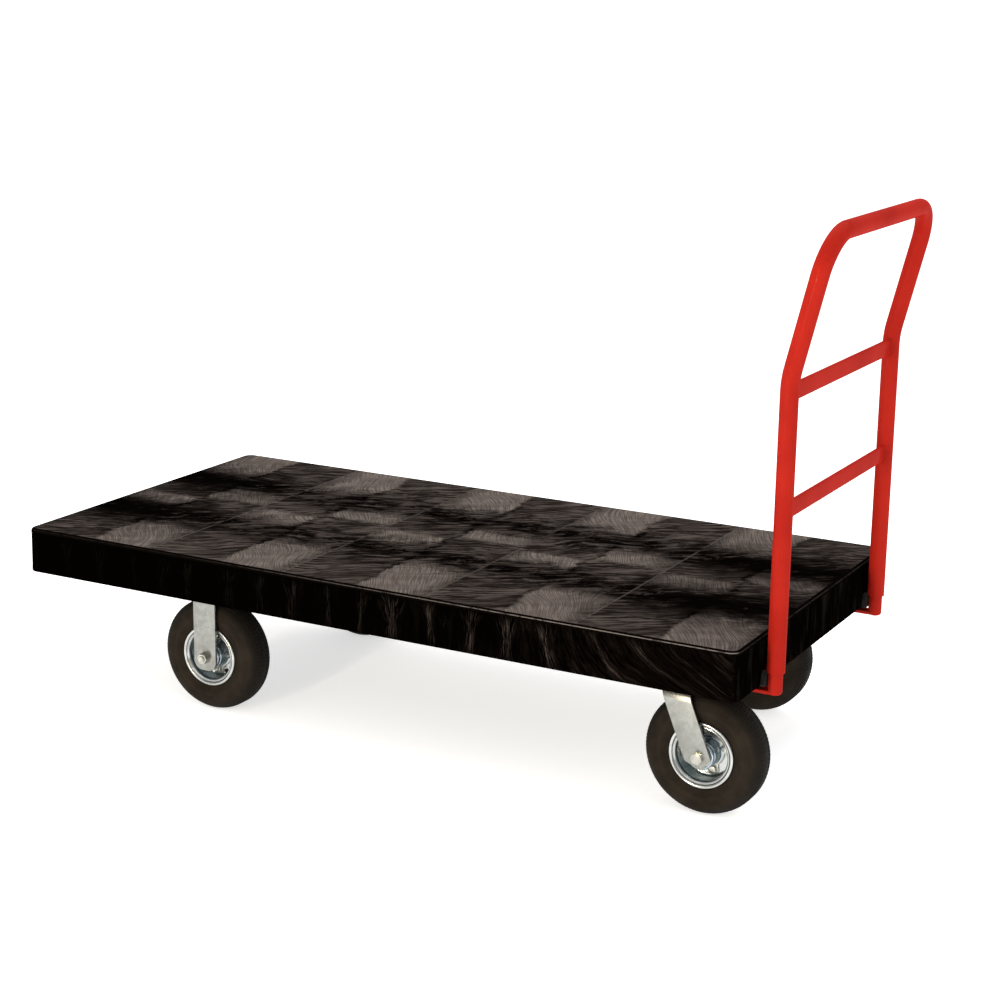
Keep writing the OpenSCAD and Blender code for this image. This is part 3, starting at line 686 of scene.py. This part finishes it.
def build_deck_shell():
    """Load face, rounded edge and skirt as one closed skin."""
    outline = deck_outline(0.0)
    xy, normal = outline[:, :2], outline[:, 2:]
    tangent_t = np.where(np.abs(normal[:, 0]) > 0.7, xy[:, 1], xy[:, 0])
    lean = np.where(np.abs(normal[:, 0]) > 0.7, 0.0, np.clip((xy[:, 0] - 0.38) / 0.34, 0, 1) * -0.085)
    bottom = DECK_TOP - SKIRT_H
    rings = []
    for t in np.linspace(90, 0, 7):
        a = math.radians(t)
        rings.append((EDGE_R * (1 - math.cos(a)) + DRAFT, DECK_TOP - EDGE_R + EDGE_R * math.sin(a), 0))
    for k in range(1, 15):
        z = DECK_TOP - EDGE_R - (SKIRT_H - EDGE_R - 2 * MM) * k / 14
        rings.append((DRAFT * (z - bottom) / SKIRT_H, z, 1))
    for t in (30, 60, 90):
        a = math.radians(t)
        rings.append((2 * MM * (1 - math.cos(a)), bottom + 2 * MM - 2 * MM * math.sin(a), 0))
    rings.append((SKIRT_T - 1.5 * MM, bottom, 0))
    rings.append((SKIRT_T, bottom + 1.5 * MM, 0))
    rings.append((SKIRT_T, DECK_TOP - PLATE_T - 3 * MM, 0))
    rings.append((SKIRT_T + 3 * MM, DECK_TOP - PLATE_T, 0))
    points = []
    for inset, z, carved in rings:
        cut = side_relief(tangent_t, np.full(len(xy), z), lean) if carved else 0.0
        p = xy - normal * (inset + cut)[:, None] if carved else xy - normal * inset
        points.append(np.column_stack([p[:, 0] + DECK_X, p[:, 1], np.full(len(p), z)]))
    columns = len(xy)
    faces = grid_faces(len(rings), columns, flip=True)
    kinds = [kind for kind, rows in ((EDGE, 6), (SIDE, 16), (INSIDE, 5)) for _ in range(rows * columns)]
    shell = np.vstack(points)
    # load face: the first ring, filled by a grid of cells
    bm = bmesh.new()
    verts = [bm.verts.new(p) for p in shell]
    made = [bm.faces.new([verts[i] for i in f]) for f in faces]
    for face, kind in zip(made, kinds):
        face.material_index = kind
    lid = bm.faces.new([verts[i] for i in range(columns)])
    lid.material_index = TOP
    under = bm.faces.new([verts[(len(rings) - 1) * columns + i] for i in reversed(range(columns))])
    under.material_index = INSIDE
    bm.normal_update()
    if lid.normal.z < 0:
        bmesh.ops.reverse_faces(bm, faces=[lid])
    if under.normal.z > 0:
        bmesh.ops.reverse_faces(bm, faces=[under])
    for axis, half, count in ((0, DECK_L / 2, round(DECK_L / CELL)), (1, DECK_W / 2, round(DECK_W / CELL))):
        for k in range(1, count):
            value = -half + 2 * half * k / count
            normal_v = (1, 0, 0) if axis == 0 else (0, 1, 0)
            point = (value + DECK_X, 0, 0) if axis == 0 else (0, value, 0)
            top = [f for f in bm.faces if f.material_index == TOP]
            edges = {e for f in top for e in f.edges}
            cut_verts = {v for f in top for v in f.verts}
            bmesh.ops.bisect_plane(
                bm, geom=top + list(edges) + list(cut_verts), plane_co=point, plane_no=normal_v, dist=1e-5
            )
    top_verts = {v for f in bm.faces if f.material_index == TOP for v in f.verts}
    inner = [v for v in top_verts if all(f.material_index == TOP for f in v.link_faces)]
    co = np.array([v.co for v in inner])
    drop = top_relief(co[:, 0] - DECK_X, co[:, 1])
    for v, d in zip(inner, drop):
        v.co.z -= d
    mesh = mesh_of(bm, "deck_shell")
    for material in (M_TOP, M_SIDE, M_EDGE, M_INSIDE):
        mesh.materials.append(material)
    return add_object("deck_shell", mesh, 50)


def box_mesh(lo, hi, taper):
    """A box from lo to hi whose lower end is narrower by taper on each side."""
    points = []
    for z, t in ((lo[2], taper), (hi[2], 0.0)):
        x0, y0, x1, y1 = lo[0] + t, lo[1] + t, hi[0] - t, hi[1] - t
        points += [(x0, y0, z), (x1, y0, z), (x1, y1, z), (x0, y1, z)]
    faces = [(3, 2, 1, 0), (4, 5, 6, 7), (0, 1, 5, 4), (1, 2, 6, 5), (2, 3, 7, 6), (3, 0, 4, 7)]
    return make_mesh("box", points, faces)


def build_deck_ribs():
    """The drafted ribs under the load plate, and the seats for the handle's foot tabs."""
    low, high = DECK_TOP - PLATE_T - RIB_H, DECK_TOP - PLATE_T + 1 * MM
    inner_l, inner_w = DECK_L / 2 - SKIRT_T, DECK_W / 2 - SKIRT_T
    parts = []
    for i in range(-5, 6):
        x = DECK_X + i * DECK_L / 12
        parts.append(box_mesh((x - RIB_T / 2, -inner_w, low), (x + RIB_T / 2, inner_w, high), 0.4 * MM))
    for i in range(-2, 3):
        y = i * DECK_W / 6
        lo, hi = (DECK_X - inner_l, y - RIB_T / 2, low), (DECK_X + inner_l, y + RIB_T / 2, high)
        parts.append(box_mesh(lo, hi, 0.4 * MM))
    pad_end = END_X - SKIRT_T + 1 * MM
    for y in (-POST_Y, POST_Y):
        lo, hi = (pad_end - PAD_L, y - PAD_HALF_W, DECK_LO.z), (pad_end, y + PAD_HALF_W, high)
        parts.append(box_mesh(lo, hi, 1.0 * MM))
    return bevelled(add_object("deck_ribs", joined("deck_ribs", parts)), 0.8 * MM, 2)


def build_lugs():
    """Tapered lugs on the end face that the posts bear against."""
    outline = [(-LUG_FOOT, 0), (LUG_FOOT, 0), (LUG_TIP, LUG_H), (-LUG_TIP, LUG_H)]
    mesh = prism("lug", outline, DECK_HI.x - END_X + LUG_ROOT)
    parts = []
    for y in (-POST_Y, POST_Y):
        rows = ((0, 0, 1, END_X - LUG_ROOT), (1, 0, 0, y), (0, 1, 0, DECK_TOP - SKIRT_H), (0, 0, 0, 1))
        parts.append((mesh, Matrix(rows)))
    return bevelled(add_object("deck_lugs", joined("deck_lugs", parts)), 1.2 * MM, 3)


settle(build_deck_shell(), "cart", "deck_resin", "deck")
place(build_deck_ribs(), M_INSIDE, "cart", "deck_resin")
place(build_lugs(), M_LUG, "cart", "deck_resin")

# ---------------- handle

TUBE_LO, TUBE_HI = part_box("handle_tube")
TUBE_R = 15.875 * MM
TUBE_BORE = 13.125 * MM
BEND_Z = 0.782
BEND_R = 0.17
TOP_CORNER_R = 0.072
LEG_X = TUBE_LO.x + TUBE_R
LEG_Y = TUBE_HI.y - TUBE_R
BAR_X = TUBE_HI.x - TUBE_R
BAR_Z = TUBE_HI.z - TUBE_R
BAR_EDGE_R = 2 * MM
WELD_R = 2.3 * MM
WELD_STEPS = 56


def handle_path():
    """Centre line of the handle, from the foot of the left leg to the foot of the right one."""
    lean = math.atan2(BAR_X - LEG_X, BAR_Z - BEND_Z)
    start = BEND_Z - BEND_R * math.tan(lean / 2)
    up = Vector((math.sin(lean), 0, math.cos(lean)))
    side = [Vector((LEG_X, -LEG_Y, z)) for z in np.linspace(TUBE_LO.z, start, 46)]
    for a in np.linspace(0, lean, 12)[1:]:
        side.append(Vector((LEG_X + BEND_R * (1 - math.cos(a)), -LEG_Y, start + BEND_R * math.sin(a))))
    corner = Vector((BAR_X, -LEG_Y, BAR_Z)) - up * TOP_CORNER_R
    foot = side[-1].copy()
    for k in range(1, 16):
        side.append(foot.lerp(corner, k / 15))
    centre = corner + Vector((0, TOP_CORNER_R, 0))
    for a in np.linspace(0, math.pi / 2, 25)[1:]:
        side.append(centre + Vector((0, -TOP_CORNER_R * math.cos(a), 0)) + up * (TOP_CORNER_R * math.sin(a)))
    bar = [Vector((BAR_X, y, BAR_Z)) for y in np.linspace(side[-1].y, -side[-1].y, 28)[1:-1]]
    mirrored = [Vector((p.x, -p.y, p.z)) for p in reversed(side)]
    return [tuple(p) for p in side + bar + mirrored]


def bar_section(node):
    """Middle and half sizes of a crossbar's section, first along X and then along Z."""
    lo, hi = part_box(node)
    return (lo.x + hi.x) / 2, (lo.z + hi.z) / 2, (hi.x - lo.x) / 2, (hi.z - lo.z) / 2


def build_crossbar(node):
    """A flat bar with softened edges, welded between the legs."""
    x, z, half_t, half_h = bar_section(node)
    r = BAR_EDGE_R
    ring = []
    for cx, cz, start in ((1, 1, 0), (-1, 1, 90), (-1, -1, 180), (1, -1, 270)):
        at_x, at_z = x + cx * (half_t - r), z + cz * (half_h - r)
        ring += [(at_x + px, at_z + pz) for px, pz in arc(0, 0, r, start, start + 90, 5)]
    ends = LEG_Y - TUBE_R * 0.97
    rows = np.linspace(-ends, ends, 60)
    points = [(px, y, pz) for y in rows for px, pz in ring]
    faces = grid_faces(len(rows), len(ring), flip=True)
    faces += [tuple(range(len(ring))), tuple(range((len(rows) - 1) * len(ring), len(rows) * len(ring)))[::-1]]
    return add_object("v_" + node, make_mesh("v_" + node, points, faces))


def build_weld_beads():
    """Rippled fillet beads around both ends of each crossbar."""
    parts = []
    rng = np.random.default_rng(11)
    for node in ("upper_crossbar", "lower_crossbar"):
        x, z, half_t, half_h = bar_section(node)
        for side in (-1, 1):
            loop = []
            for k in range(WELD_STEPS):
                a = TAU * k / WELD_STEPS
                ca, sa = math.cos(a), math.sin(a)
                px = x + half_t * np.sign(ca) * abs(ca) ** 0.35
                pz = z + half_h * np.sign(sa) * abs(sa) ** 0.35
                depth = math.sqrt(TUBE_R ** 2 - (px - LEG_X) ** 2)
                loop.append((px, side * (LEG_Y - depth), pz))
            parts.append(bead(loop, WELD_R, rng))
    return add_object("handle_welds", joined("handle_welds", parts), 60)


def bead(loop, radius, rng):
    """A closed ring of weld metal whose thickness ripples."""
    loop = np.array(loop, float)
    n, steps = len(loop), 8
    tangent = np.roll(loop, -1, 0) - np.roll(loop, 1, 0)
    tangent /= np.linalg.norm(tangent, axis=1)[:, None]
    side = np.cross(tangent, (0, 1, 0))
    side /= np.linalg.norm(side, axis=1)[:, None]
    other = np.cross(tangent, side)
    a = np.arange(steps) / steps * TAU
    size = radius * (1 + 0.16 * np.sin(np.arange(n) * 2.1) + rng.uniform(-0.08, 0.08, n))
    points = loop[:, None, :] + size[:, None, None] * (
        np.cos(a)[None, :, None] * side[:, None, :] + np.sin(a)[None, :, None] * other[:, None, :]
    )
    return make_mesh("bead", points.reshape(-1, 3), grid_faces(n, steps, wrap_rows=True))


handle = add_object("handle_loop", sweep("handle_loop", handle_path(), TUBE_R, TUBE_BORE, 56), 60)
place(handle, M_RED, "handle", "handle_paint", "handle_tube")
for bar_node in ("upper_crossbar", "lower_crossbar"):
    place(build_crossbar(bar_node), M_RED, "handle", "handle_paint", bar_node)
place(build_weld_beads(), M_RED, "handle", "handle_paint")
for post_node in ("left_post", "right_post"):
    place(rounded_copy(post_node, 0.9 * MM, 3), M_RED, "cart", "handle_paint", post_node)

# ---------------- fasteners


OVER = Matrix.Rotation(math.pi, 4, "X")


def hex_head(across, height, chamfer=0.12):
    """A hex head that stands on z = 0, with its top corners turned off."""
    corner = across / 2 / math.cos(math.pi / 6)
    turns = [TAU * (k + 0.5) / 6 for k in range(6)]
    mesh = prism("hex", [(corner * math.cos(a), corner * math.sin(a)) for a in turns], height)
    outline = [(0.0, -0.01), (across, -0.01), (across, height - across * chamfer * 1.6)]
    outline += [(across * 0.47, height), (0.0, height)]
    return cut_with(mesh, lathe("cone", outline, 48), "INTERSECT")


def cut_with(mesh, tool, operation):
    """The boolean of two meshes."""
    a = bpy.data.objects.new("a", mesh)
    b = bpy.data.objects.new("b", tool)
    for o in (a, b):
        bpy.context.scene.collection.objects.link(o)
    change = a.modifiers.new("cut", "BOOLEAN")
    change.object = b
    change.operation = operation
    change.solver = "EXACT"
    bpy.context.view_layer.update()
    result = bpy.data.meshes.new_from_object(a.evaluated_get(bpy.context.evaluated_depsgraph_get()))
    for o in (a, b):
        bpy.data.objects.remove(o)
    return result


def threaded(radius, length, pitch, start):
    """A shank along +Z whose far part carries thread ridges."""
    outline = [(0.0, 0.0), (radius, 0.0), (radius, start)]
    z = start
    while z + pitch < length - 0.8 * MM:
        outline += [(radius - 0.55 * pitch, z + 0.5 * pitch), (radius, z + pitch)]
        z += pitch
    outline += [(radius, length - 0.8 * MM), (radius - 0.8 * MM, length), (0.0, length)]
    return lathe("thread", outline, 32)


def hex_nut(across, height, bore):
    nut = hex_head(across, height)
    low, high = -1 * MM, height + 1 * MM
    hole = lathe("hole", [(0.0, low), (bore, low), (bore, high), (0.0, high)], 32)
    return cut_with(nut, hole, "DIFFERENCE")


# ---------------- wheels, about Z, outer side up

TYRE_R = 112 * MM
SECTION_R = 85.5 * MM
SECTION_Z = 7.5 * MM
CAVITY_R = 21 * MM
BEAD_Z = 25.8 * MM
FLANGE_R = 61 * MM
SEAT_R = 50 * MM
BARREL_R = 26 * MM
RIM_BOLT_R = 35 * MM
SEAL_Z = 33.4 * MM
LIP_Z = 29.3 * MM
LIP_R = 3.2 * MM
SPLIT = -6.3
TREAD_BLOCKS = 96
TREAD_GROOVES = (7.5, 14.5, 21.0)
FLANK_RINGS = (66.5, 70.0, 90.5, 94.5)


def tyre_outline():
    """Half of the tyre's outer section from the crown to the bead, as (radius, height)."""
    points = [(TYRE_R, z * MM) for z in np.linspace(0, 9, 13)]
    swell = np.linspace(0, math.pi / 2, 50)[1:]
    points += [(TYRE_R - 26.5 * MM * (1 - math.cos(a)), (9 + 25 * math.sin(a)) * MM) for a in swell]
    points += [(SEAT_R + (35.5 - k * 2.1) * MM, (34.0 - 0.055 * k * k) * MM) for k in range(1, 11)]
    points += [(62.6 * MM, 29.6 * MM), (61.8 * MM, 26.6 * MM), (56 * MM, BEAD_Z)]
    return points + [(SEAT_R + 0.2 * MM, BEAD_Z)]


def tyre_dent(a, r, z):
    """Cuts the tread, shallow grooves with small staggered blocks between them, and the flanks' rings."""
    side = np.sign(z)
    height = np.abs(z) / MM
    groove = sum(np.exp(-(((height - at) / 0.9) ** 4)) for at in TREAD_GROOVES)
    row = sum((height > at).astype(float) for at in TREAD_GROOVES)
    phase = a * TREAD_BLOCKS / TAU + 0.5 * (row % 2) + 0.06 * side * height
    slot = np.exp(-((((phase % 1.0) - 0.5) / 0.16) ** 4))
    fade = np.clip((26.0 - height) / 4.0, 0, 1) * np.clip(height / 2.0, 0, 1)
    depth = np.maximum(groove * 1.1, slot * 0.9) * fade
    flank = (r < 98 * MM) & (r > 63 * MM) & (height > 20)
    at_ring = sum(np.exp(-(((r / MM - at) / 1.1) ** 2)) for at in FLANK_RINGS)
    ring = np.where(flank, 0.45 * at_ring, 0.0)
    dr, dz = r - SECTION_R, z - side * SECTION_Z
    length = np.maximum(np.hypot(dr, dz), 1e-6)
    outside = (height < 35) & (length > 23.5 * MM) & (r > 63 * MM)
    push = (np.where(r > 92 * MM, depth, 0.0) + ring) * MM * outside
    return r - dr / length * push, z - dz / length * push


def build_tyre_mesh():
    half = tyre_outline()
    outer = [(r, -z) for r, z in reversed(half)] + half[1:]
    cavity = [(SEAT_R + 0.2 * MM, 18 * MM), (62 * MM, 18 * MM)]
    bulge = np.linspace(2.4, 0, 12)
    cavity += [(SECTION_R + CAVITY_R * math.cos(a), SECTION_Z + CAVITY_R * math.sin(a)) for a in bulge]
    cavity += [(r, -z) for r, z in reversed(cavity)]
    return lathe("tyre", outer + cavity, 5 * TREAD_BLOCKS, tyre_dent)


def build_rim_half_mesh(outer_side):
    """Pressed half of the rim: rolled lip, bead seat wall with a soft step, and the centre disc."""
    base = SPLIT if outer_side else -SPLIT
    seat, flange, bore = SEAT_R / MM, FLANGE_R / MM, BARREL_R / MM + 0.1
    lip = arc(flange - LIP_R / MM, LIP_Z / MM, LIP_R / MM, -40, 215, 22)
    outline = [(bore, base), (seat, base), (seat, 23.0), (seat + 0.6, 25.6)]
    outline += [(flange - LIP_R / MM - 1.0, 26.4)] + lip
    outline += [(flange - 7.6, 30.9), (flange - 8.4, 30.0), (flange - 9.3, 30.3), (flange - 10.3, 29.4)]
    outline += [(flange - 11.3, 28.9), (48.6, 26.4), (47.7, 23.6), (47.5, 21.0), (47.5, base + 6.0)]
    outline += arc(44.0, base + 6.0, 3.5, 0, -90, 7) + [(bore, base + 2.5)]
    mesh = lathe("rim_half", in_mm(outline), 160)
    if not outer_side:
        mesh.transform(Matrix.Scale(-1, 4, (0, 0, 1)))
        mesh.flip_normals()
    return mesh


def build_hub_mesh():
    """Barrel with rounded shoulders and a step for the seal."""
    half = [(26.0, 0.0), (26.0, 24.0), (25.6, 25.2), (24.6, 25.9), (24.6, 27.2), (25.4, 28.0), (25.4, 31.5)]
    half += arc(22.4, 32.5, 3.0, 10, 90, 7)
    half += [(21.3, 35.5), (21.0, 35.1), (21.0, 22.0), (17.0, 22.0)]
    outline = [(r, -z) for r, z in reversed(half)] + half[1:]
    return lathe("hub", in_mm(outline), 96)


def lobed_outline(count=288):
    """Four bolt lobes joined by drawn-in flanks."""
    loop = []
    for k in range(count):
        a = TAU * k / count
        near = (a + math.pi / 4) % (math.pi / 2) - math.pi / 4
        lobe = math.exp(-((near / 0.3) ** 4))
        loop.append((31.5 + 13.6 * lobe, a))
    return [(r * MM * math.cos(a), r * MM * math.sin(a)) for r, a in loop]


def build_hub_plate_mesh():
    """The lobed flange of the hub, dished slightly, with a bore for the barrel."""
    loop = lobed_outline()
    n = len(loop)
    root, foot = 0.815, SPLIT + 2.5
    shares = [(root, 0), (1.0, 0), (1.0, 1.9), (0.975, 2.8), (0.93, 3.0), (0.86, 3.0), (0.82, 3.9)]
    shares.append((root, 4.9))
    points = []
    for share, rise in shares:
        for x, y in loop:
            r, inner = math.hypot(x, y), 25.7 * MM
            s = inner + (r - inner) * (share - root) / (1 - root)
            points.append((x / r * s, y / r * s, (foot + rise) * MM))
    return make_mesh("hub_plate", points, grid_faces(len(shares), n, wrap_rows=True))


def build_seal_mesh():
    """The dished seal over a bearing."""
    outline = [(10.3, 0.0), (20.6, 0.0), (20.9, 0.5), (20.2, 1.0), (17.5, 1.1)]
    outline += [(16.2, 0.7), (12.5, 0.7), (11.6, 1.3), (10.3, 1.3)]
    return lathe("seal", in_mm(outline), 72)


def build_rim_bolts_mesh(nuts_out):
    """Four bolts with faced heads. The fixed wheels carry their nuts outside."""
    head, nut = hex_head(13 * MM, 5.3 * MM, 0.16), hex_nut(13 * MM, 6.5 * MM, 3.9 * MM)
    shank = threaded(4 * MM, 25 * MM, 1.25 * MM, 5 * MM)
    washer = lathe("face", in_mm(((4.1, 0.0), (6.9, 0.0), (7.0, 0.3), (6.7, 0.8), (4.1, 0.8))), 40)
    outer, inner = (Matrix.Translation((0, 0, (SPLIT + lift) * MM)) for lift in (5.5, -2.5))
    ends = (outer, inner @ OVER)
    head_end, nut_end = ends[::-1] if nuts_out else ends
    parts = []
    for k in range(4):
        at = Matrix.Rotation(k * math.pi / 2, 4, "Z") @ Matrix.Translation((RIM_BOLT_R, 0, 0))
        twist = Matrix.Rotation(0.4 * k + 0.2, 4, "Z")
        parts += [(head, at @ head_end @ twist), (washer, at @ head_end)]
        parts += [(nut, at @ nut_end @ twist), (shank, at @ head_end @ OVER)]
    return joined("rim_bolts", parts)


TYRE_MESH = build_tyre_mesh()
OUTER_RIM_MESH = build_rim_half_mesh(True)
INNER_RIM_MESH = build_rim_half_mesh(False)
HUB_MESH = joined("hub_whole", [build_hub_mesh(), build_hub_plate_mesh()])
SEAL_MESH = build_seal_mesh()
BOLTS_MESH = build_rim_bolts_mesh(False)
BOLTS_NUTS_OUT_MESH = build_rim_bolts_mesh(True)
TURNS = {"left_fixed": 0, "right_fixed": 30, "left_swivel": 18.6, "right_swivel": 50}
WHEEL_PIECES = (
    ("tyre", TYRE_MESH, M_TYRE, "tyre_rubber", 32),
    ("outer_rim", OUTER_RIM_MESH, M_RIM, "rim_zinc", 40),
    ("inner_rim", INNER_RIM_MESH, M_RIM, "rim_zinc", 40),
    ("hub", HUB_MESH, M_HUB, "hub_zinc", 40),
    ("rim_bolts", BOLTS_MESH, M_BOLT, "fastener_zinc", 30),
)


def heading(caster):
    return 0.0 if caster.startswith("left") else math.pi


def axle_frame(caster):
    """Matrix of the axle's frame: the wheel's axis on Z with the outer side up."""
    centre = Vector(JOINTS[caster + "_spin"]["pos_m"])
    turned = Matrix.Rotation(heading(caster), 4, "Z") @ Matrix.Rotation(math.pi / 2, 4, "X")
    return Matrix.Translation(centre) @ turned


for caster in CASTERS:
    turned = axle_frame(caster) @ Matrix.Rotation(math.radians(TURNS[caster]), 4, "Z")
    for part, mesh, material, slot, sharp in WHEEL_PIECES:
        if part == "rim_bolts" and caster.endswith("fixed"):
            mesh = BOLTS_NUTS_OUT_MESH
        piece = add_object(f"v_{caster}_{part}", mesh, sharp)
        piece.matrix_world = turned
        place(piece, material, caster + "_wheel", slot, f"{caster}_{part}")
    for index, side in enumerate((0, math.pi)):
        seal = add_object(f"v_{caster}_seal_{index}", SEAL_MESH, 40)
        seal.matrix_world = turned @ Matrix.Rotation(side, 4, "X") @ Matrix.Translation((0, 0, SEAL_Z))
        place(seal, M_BOLT, caster + "_wheel", "bearing_steel")

# ---------------- forks, plates and axle bolts

for caster in CASTERS:
    body = caster if caster.endswith("swivel") else "cart"
    place(rounded_copy(caster + "_fork", 0.9 * MM, 3), M_FORK, body, "fork_zinc", caster + "_fork")
for caster in CASTERS[2:]:
    plate = rounded_copy(caster + "_top_plate", 0.6 * MM, 2)
    place(plate, M_FORK, "cart", "fork_zinc", caster + "_top_plate")

AXLE_R = 6.35 * MM
FORK_OUT = 44 * MM
AXLE_HEX = 19 * MM
AXLE_HEAD = hex_head(AXLE_HEX, 8 * MM)
AXLE_NUT = hex_nut(AXLE_HEX, 11 * MM, 6.2 * MM)
AXLE_SHANK = threaded(AXLE_R, 103 * MM, 1.6 * MM, 72 * MM)


def axle_set(caster):
    """Matrices of one caster's bolt and nut: the fixed casters carry their nuts outside."""
    base = axle_frame(caster)
    return base if caster.endswith("swivel") else base @ OVER


def bolt_parts(base, turn):
    up = base @ Matrix.Translation((0, 0, FORK_OUT)) @ Matrix.Rotation(turn, 4, "Z")
    return [(AXLE_HEAD, up), (AXLE_SHANK, up @ OVER)]


def nut_parts(base, turn):
    down = base @ Matrix.Translation((0, 0, -FORK_OUT)) @ OVER @ Matrix.Rotation(turn, 4, "Z")
    return [(AXLE_NUT, down)]


def add_fastener(name, parts, body, *nodes):
    place(add_object(name, joined(name, parts), 30), M_BOLT, body, "fastener_zinc", *nodes)


for caster in CASTERS[2:]:
    add_fastener(f"v_{caster}_axle_bolt", bolt_parts(axle_set(caster), 0.35), caster, caster + "_axle_bolt")
    add_fastener(f"v_{caster}_axle_nut", nut_parts(axle_set(caster), 0.9), caster, caster + "_axle_nut")
fixed = [axle_set(caster) for caster in CASTERS[:2]]
bolts = bolt_parts(fixed[0], 0.2) + bolt_parts(fixed[1], 0.7)
nuts = nut_parts(fixed[0], 0.5) + nut_parts(fixed[1], 0.1)
add_fastener("v_fixed_axle_bolts", bolts, "cart", "fixed_axle_bolts")
add_fastener("v_fixed_axle_nuts", nuts, "cart", "fixed_axle_nuts")

CARRIED = {
    "channel": M_CHANNEL, "bolts": M_BOLT, "nuts": M_BOLT, "inner_tube": M_TUBE, "bearings": M_BEARING,
    "spacer": M_BEARING, "spacers": M_BEARING, "race_balls": M_BEARING, "kingpin": M_BEARING,
}
for name, node in frame["nodes"].items():
    if not node.hide_render:
        finish = next(m for key, m in CARRIED.items() if name.endswith(key))
        paint(node, finish)

# ---------------- stage, light and camera

SKY_LOW, SKY_HIGH = 0.3, 0.95


def add_floor():
    """A wide pale table, lit from within like a light table, with a faint matte grain."""
    size, cells = 110.0, 24
    rows = np.linspace(-size, size, cells)
    points = [(x, y, 0.0) for y in rows for x in rows]
    floor = add_object("floor", make_mesh("floor", points, grid_faces(cells, cells, wrap_columns=False)))
    glow = {"Emission_Color": (1.0, 1.0, 1.0, 1.0), "Emission_Strength": 0.6}
    n = Nodes("floor_white", Specular_IOR_Level=0.0, Roughness=0.9, **glow)
    grain = n.noise(n.coords, 30.0, 3.0, 0.5)
    paint(floor, n.finish(n.mix(n.ramp(grain), (0.93, 0.93, 0.93), (0.96, 0.96, 0.96))))


def add_light(name, place_at, target, size, power, color=(1, 1, 1)):
    light = bpy.data.lights.new(name, "AREA")
    light.shape = "RECTANGLE"
    light.size, light.size_y = size
    light.energy = power
    light.color = color
    lamp = bpy.data.objects.new(name, light)
    lamp.location = place_at
    lamp.rotation_euler = (Vector(target) - Vector(place_at)).to_track_quat("-Z", "Y").to_euler()
    bpy.context.scene.collection.objects.link(lamp)


def add_world():
    """White studio sky, dimmer low down on the camera's side, where a real room falls away."""
    world = bpy.data.worlds.new("studio")
    world.use_nodes = True
    n = Tree(world.node_tree, "Generated")
    _, y, z = n.split(n.coords)
    level = n.larger(n.ramp(y, -0.75, 0.05, SKY_LOW, SKY_HIGH), n.ramp(z, 0.18, 0.62, SKY_LOW, SKY_HIGH))
    background = n.tree.nodes["Background"]
    background.inputs[0].default_value = (1.0, 1.0, 1.0, 1.0)
    n.put(background.inputs[1], level)
    bpy.context.scene.world = world


def add_camera():
    """Stands off the near corner at the handle end, a little above the top bar, looking along the cart."""
    focal_pixels, width_pixels, sensor = 2089.8, 1001.0, 36.0
    yaw, pitch, roll = 0.495, 0.253, 0.014
    stand = Vector((DECK_X + 1.9731, -3.4607, 1.4442))
    camera = bpy.data.cameras.new("camera")
    camera.sensor_width = sensor
    camera.lens = sensor * focal_pixels / width_pixels
    camera.clip_end = 400.0
    eye = bpy.data.objects.new("camera", camera)
    forward = Vector((-math.sin(yaw) * math.cos(pitch), math.cos(yaw) * math.cos(pitch), -math.sin(pitch)))
    right = forward.cross(Vector((0, 0, 1))).normalized()
    up = right.cross(forward)
    r = right * math.cos(roll) + up * math.sin(roll)
    u = up * math.cos(roll) - right * math.sin(roll)
    turn = Matrix((r, u, -forward)).transposed().to_4x4()
    eye.matrix_world = Matrix.Translation(stand) @ turn
    bpy.context.scene.collection.objects.link(eye)
    bpy.context.scene.camera = eye


add_floor()
add_world()
add_light("over", (0.2, 0.9, 3.4), (0.0, 0.0, 0.3), (4.0, 3.0), 60)
add_light("front", (-1.2, -4.4, 2.2), (0.3, 0.0, 0.5), (0.8, 2.6), 8, (1.0, 0.95, 0.87))
add_light("strip", (-0.15, -4.1, 1.05), (0.74, -0.2, 0.6), (0.1, 2.0), 84, (1.0, 0.84, 0.62))
add_light("end", (4.2, 0.6, 1.5), (0.7, 0.0, 0.4), (1.6, 1.6), 8)
add_camera()
scene = bpy.context.scene
scene.view_settings.view_transform = "Standard"
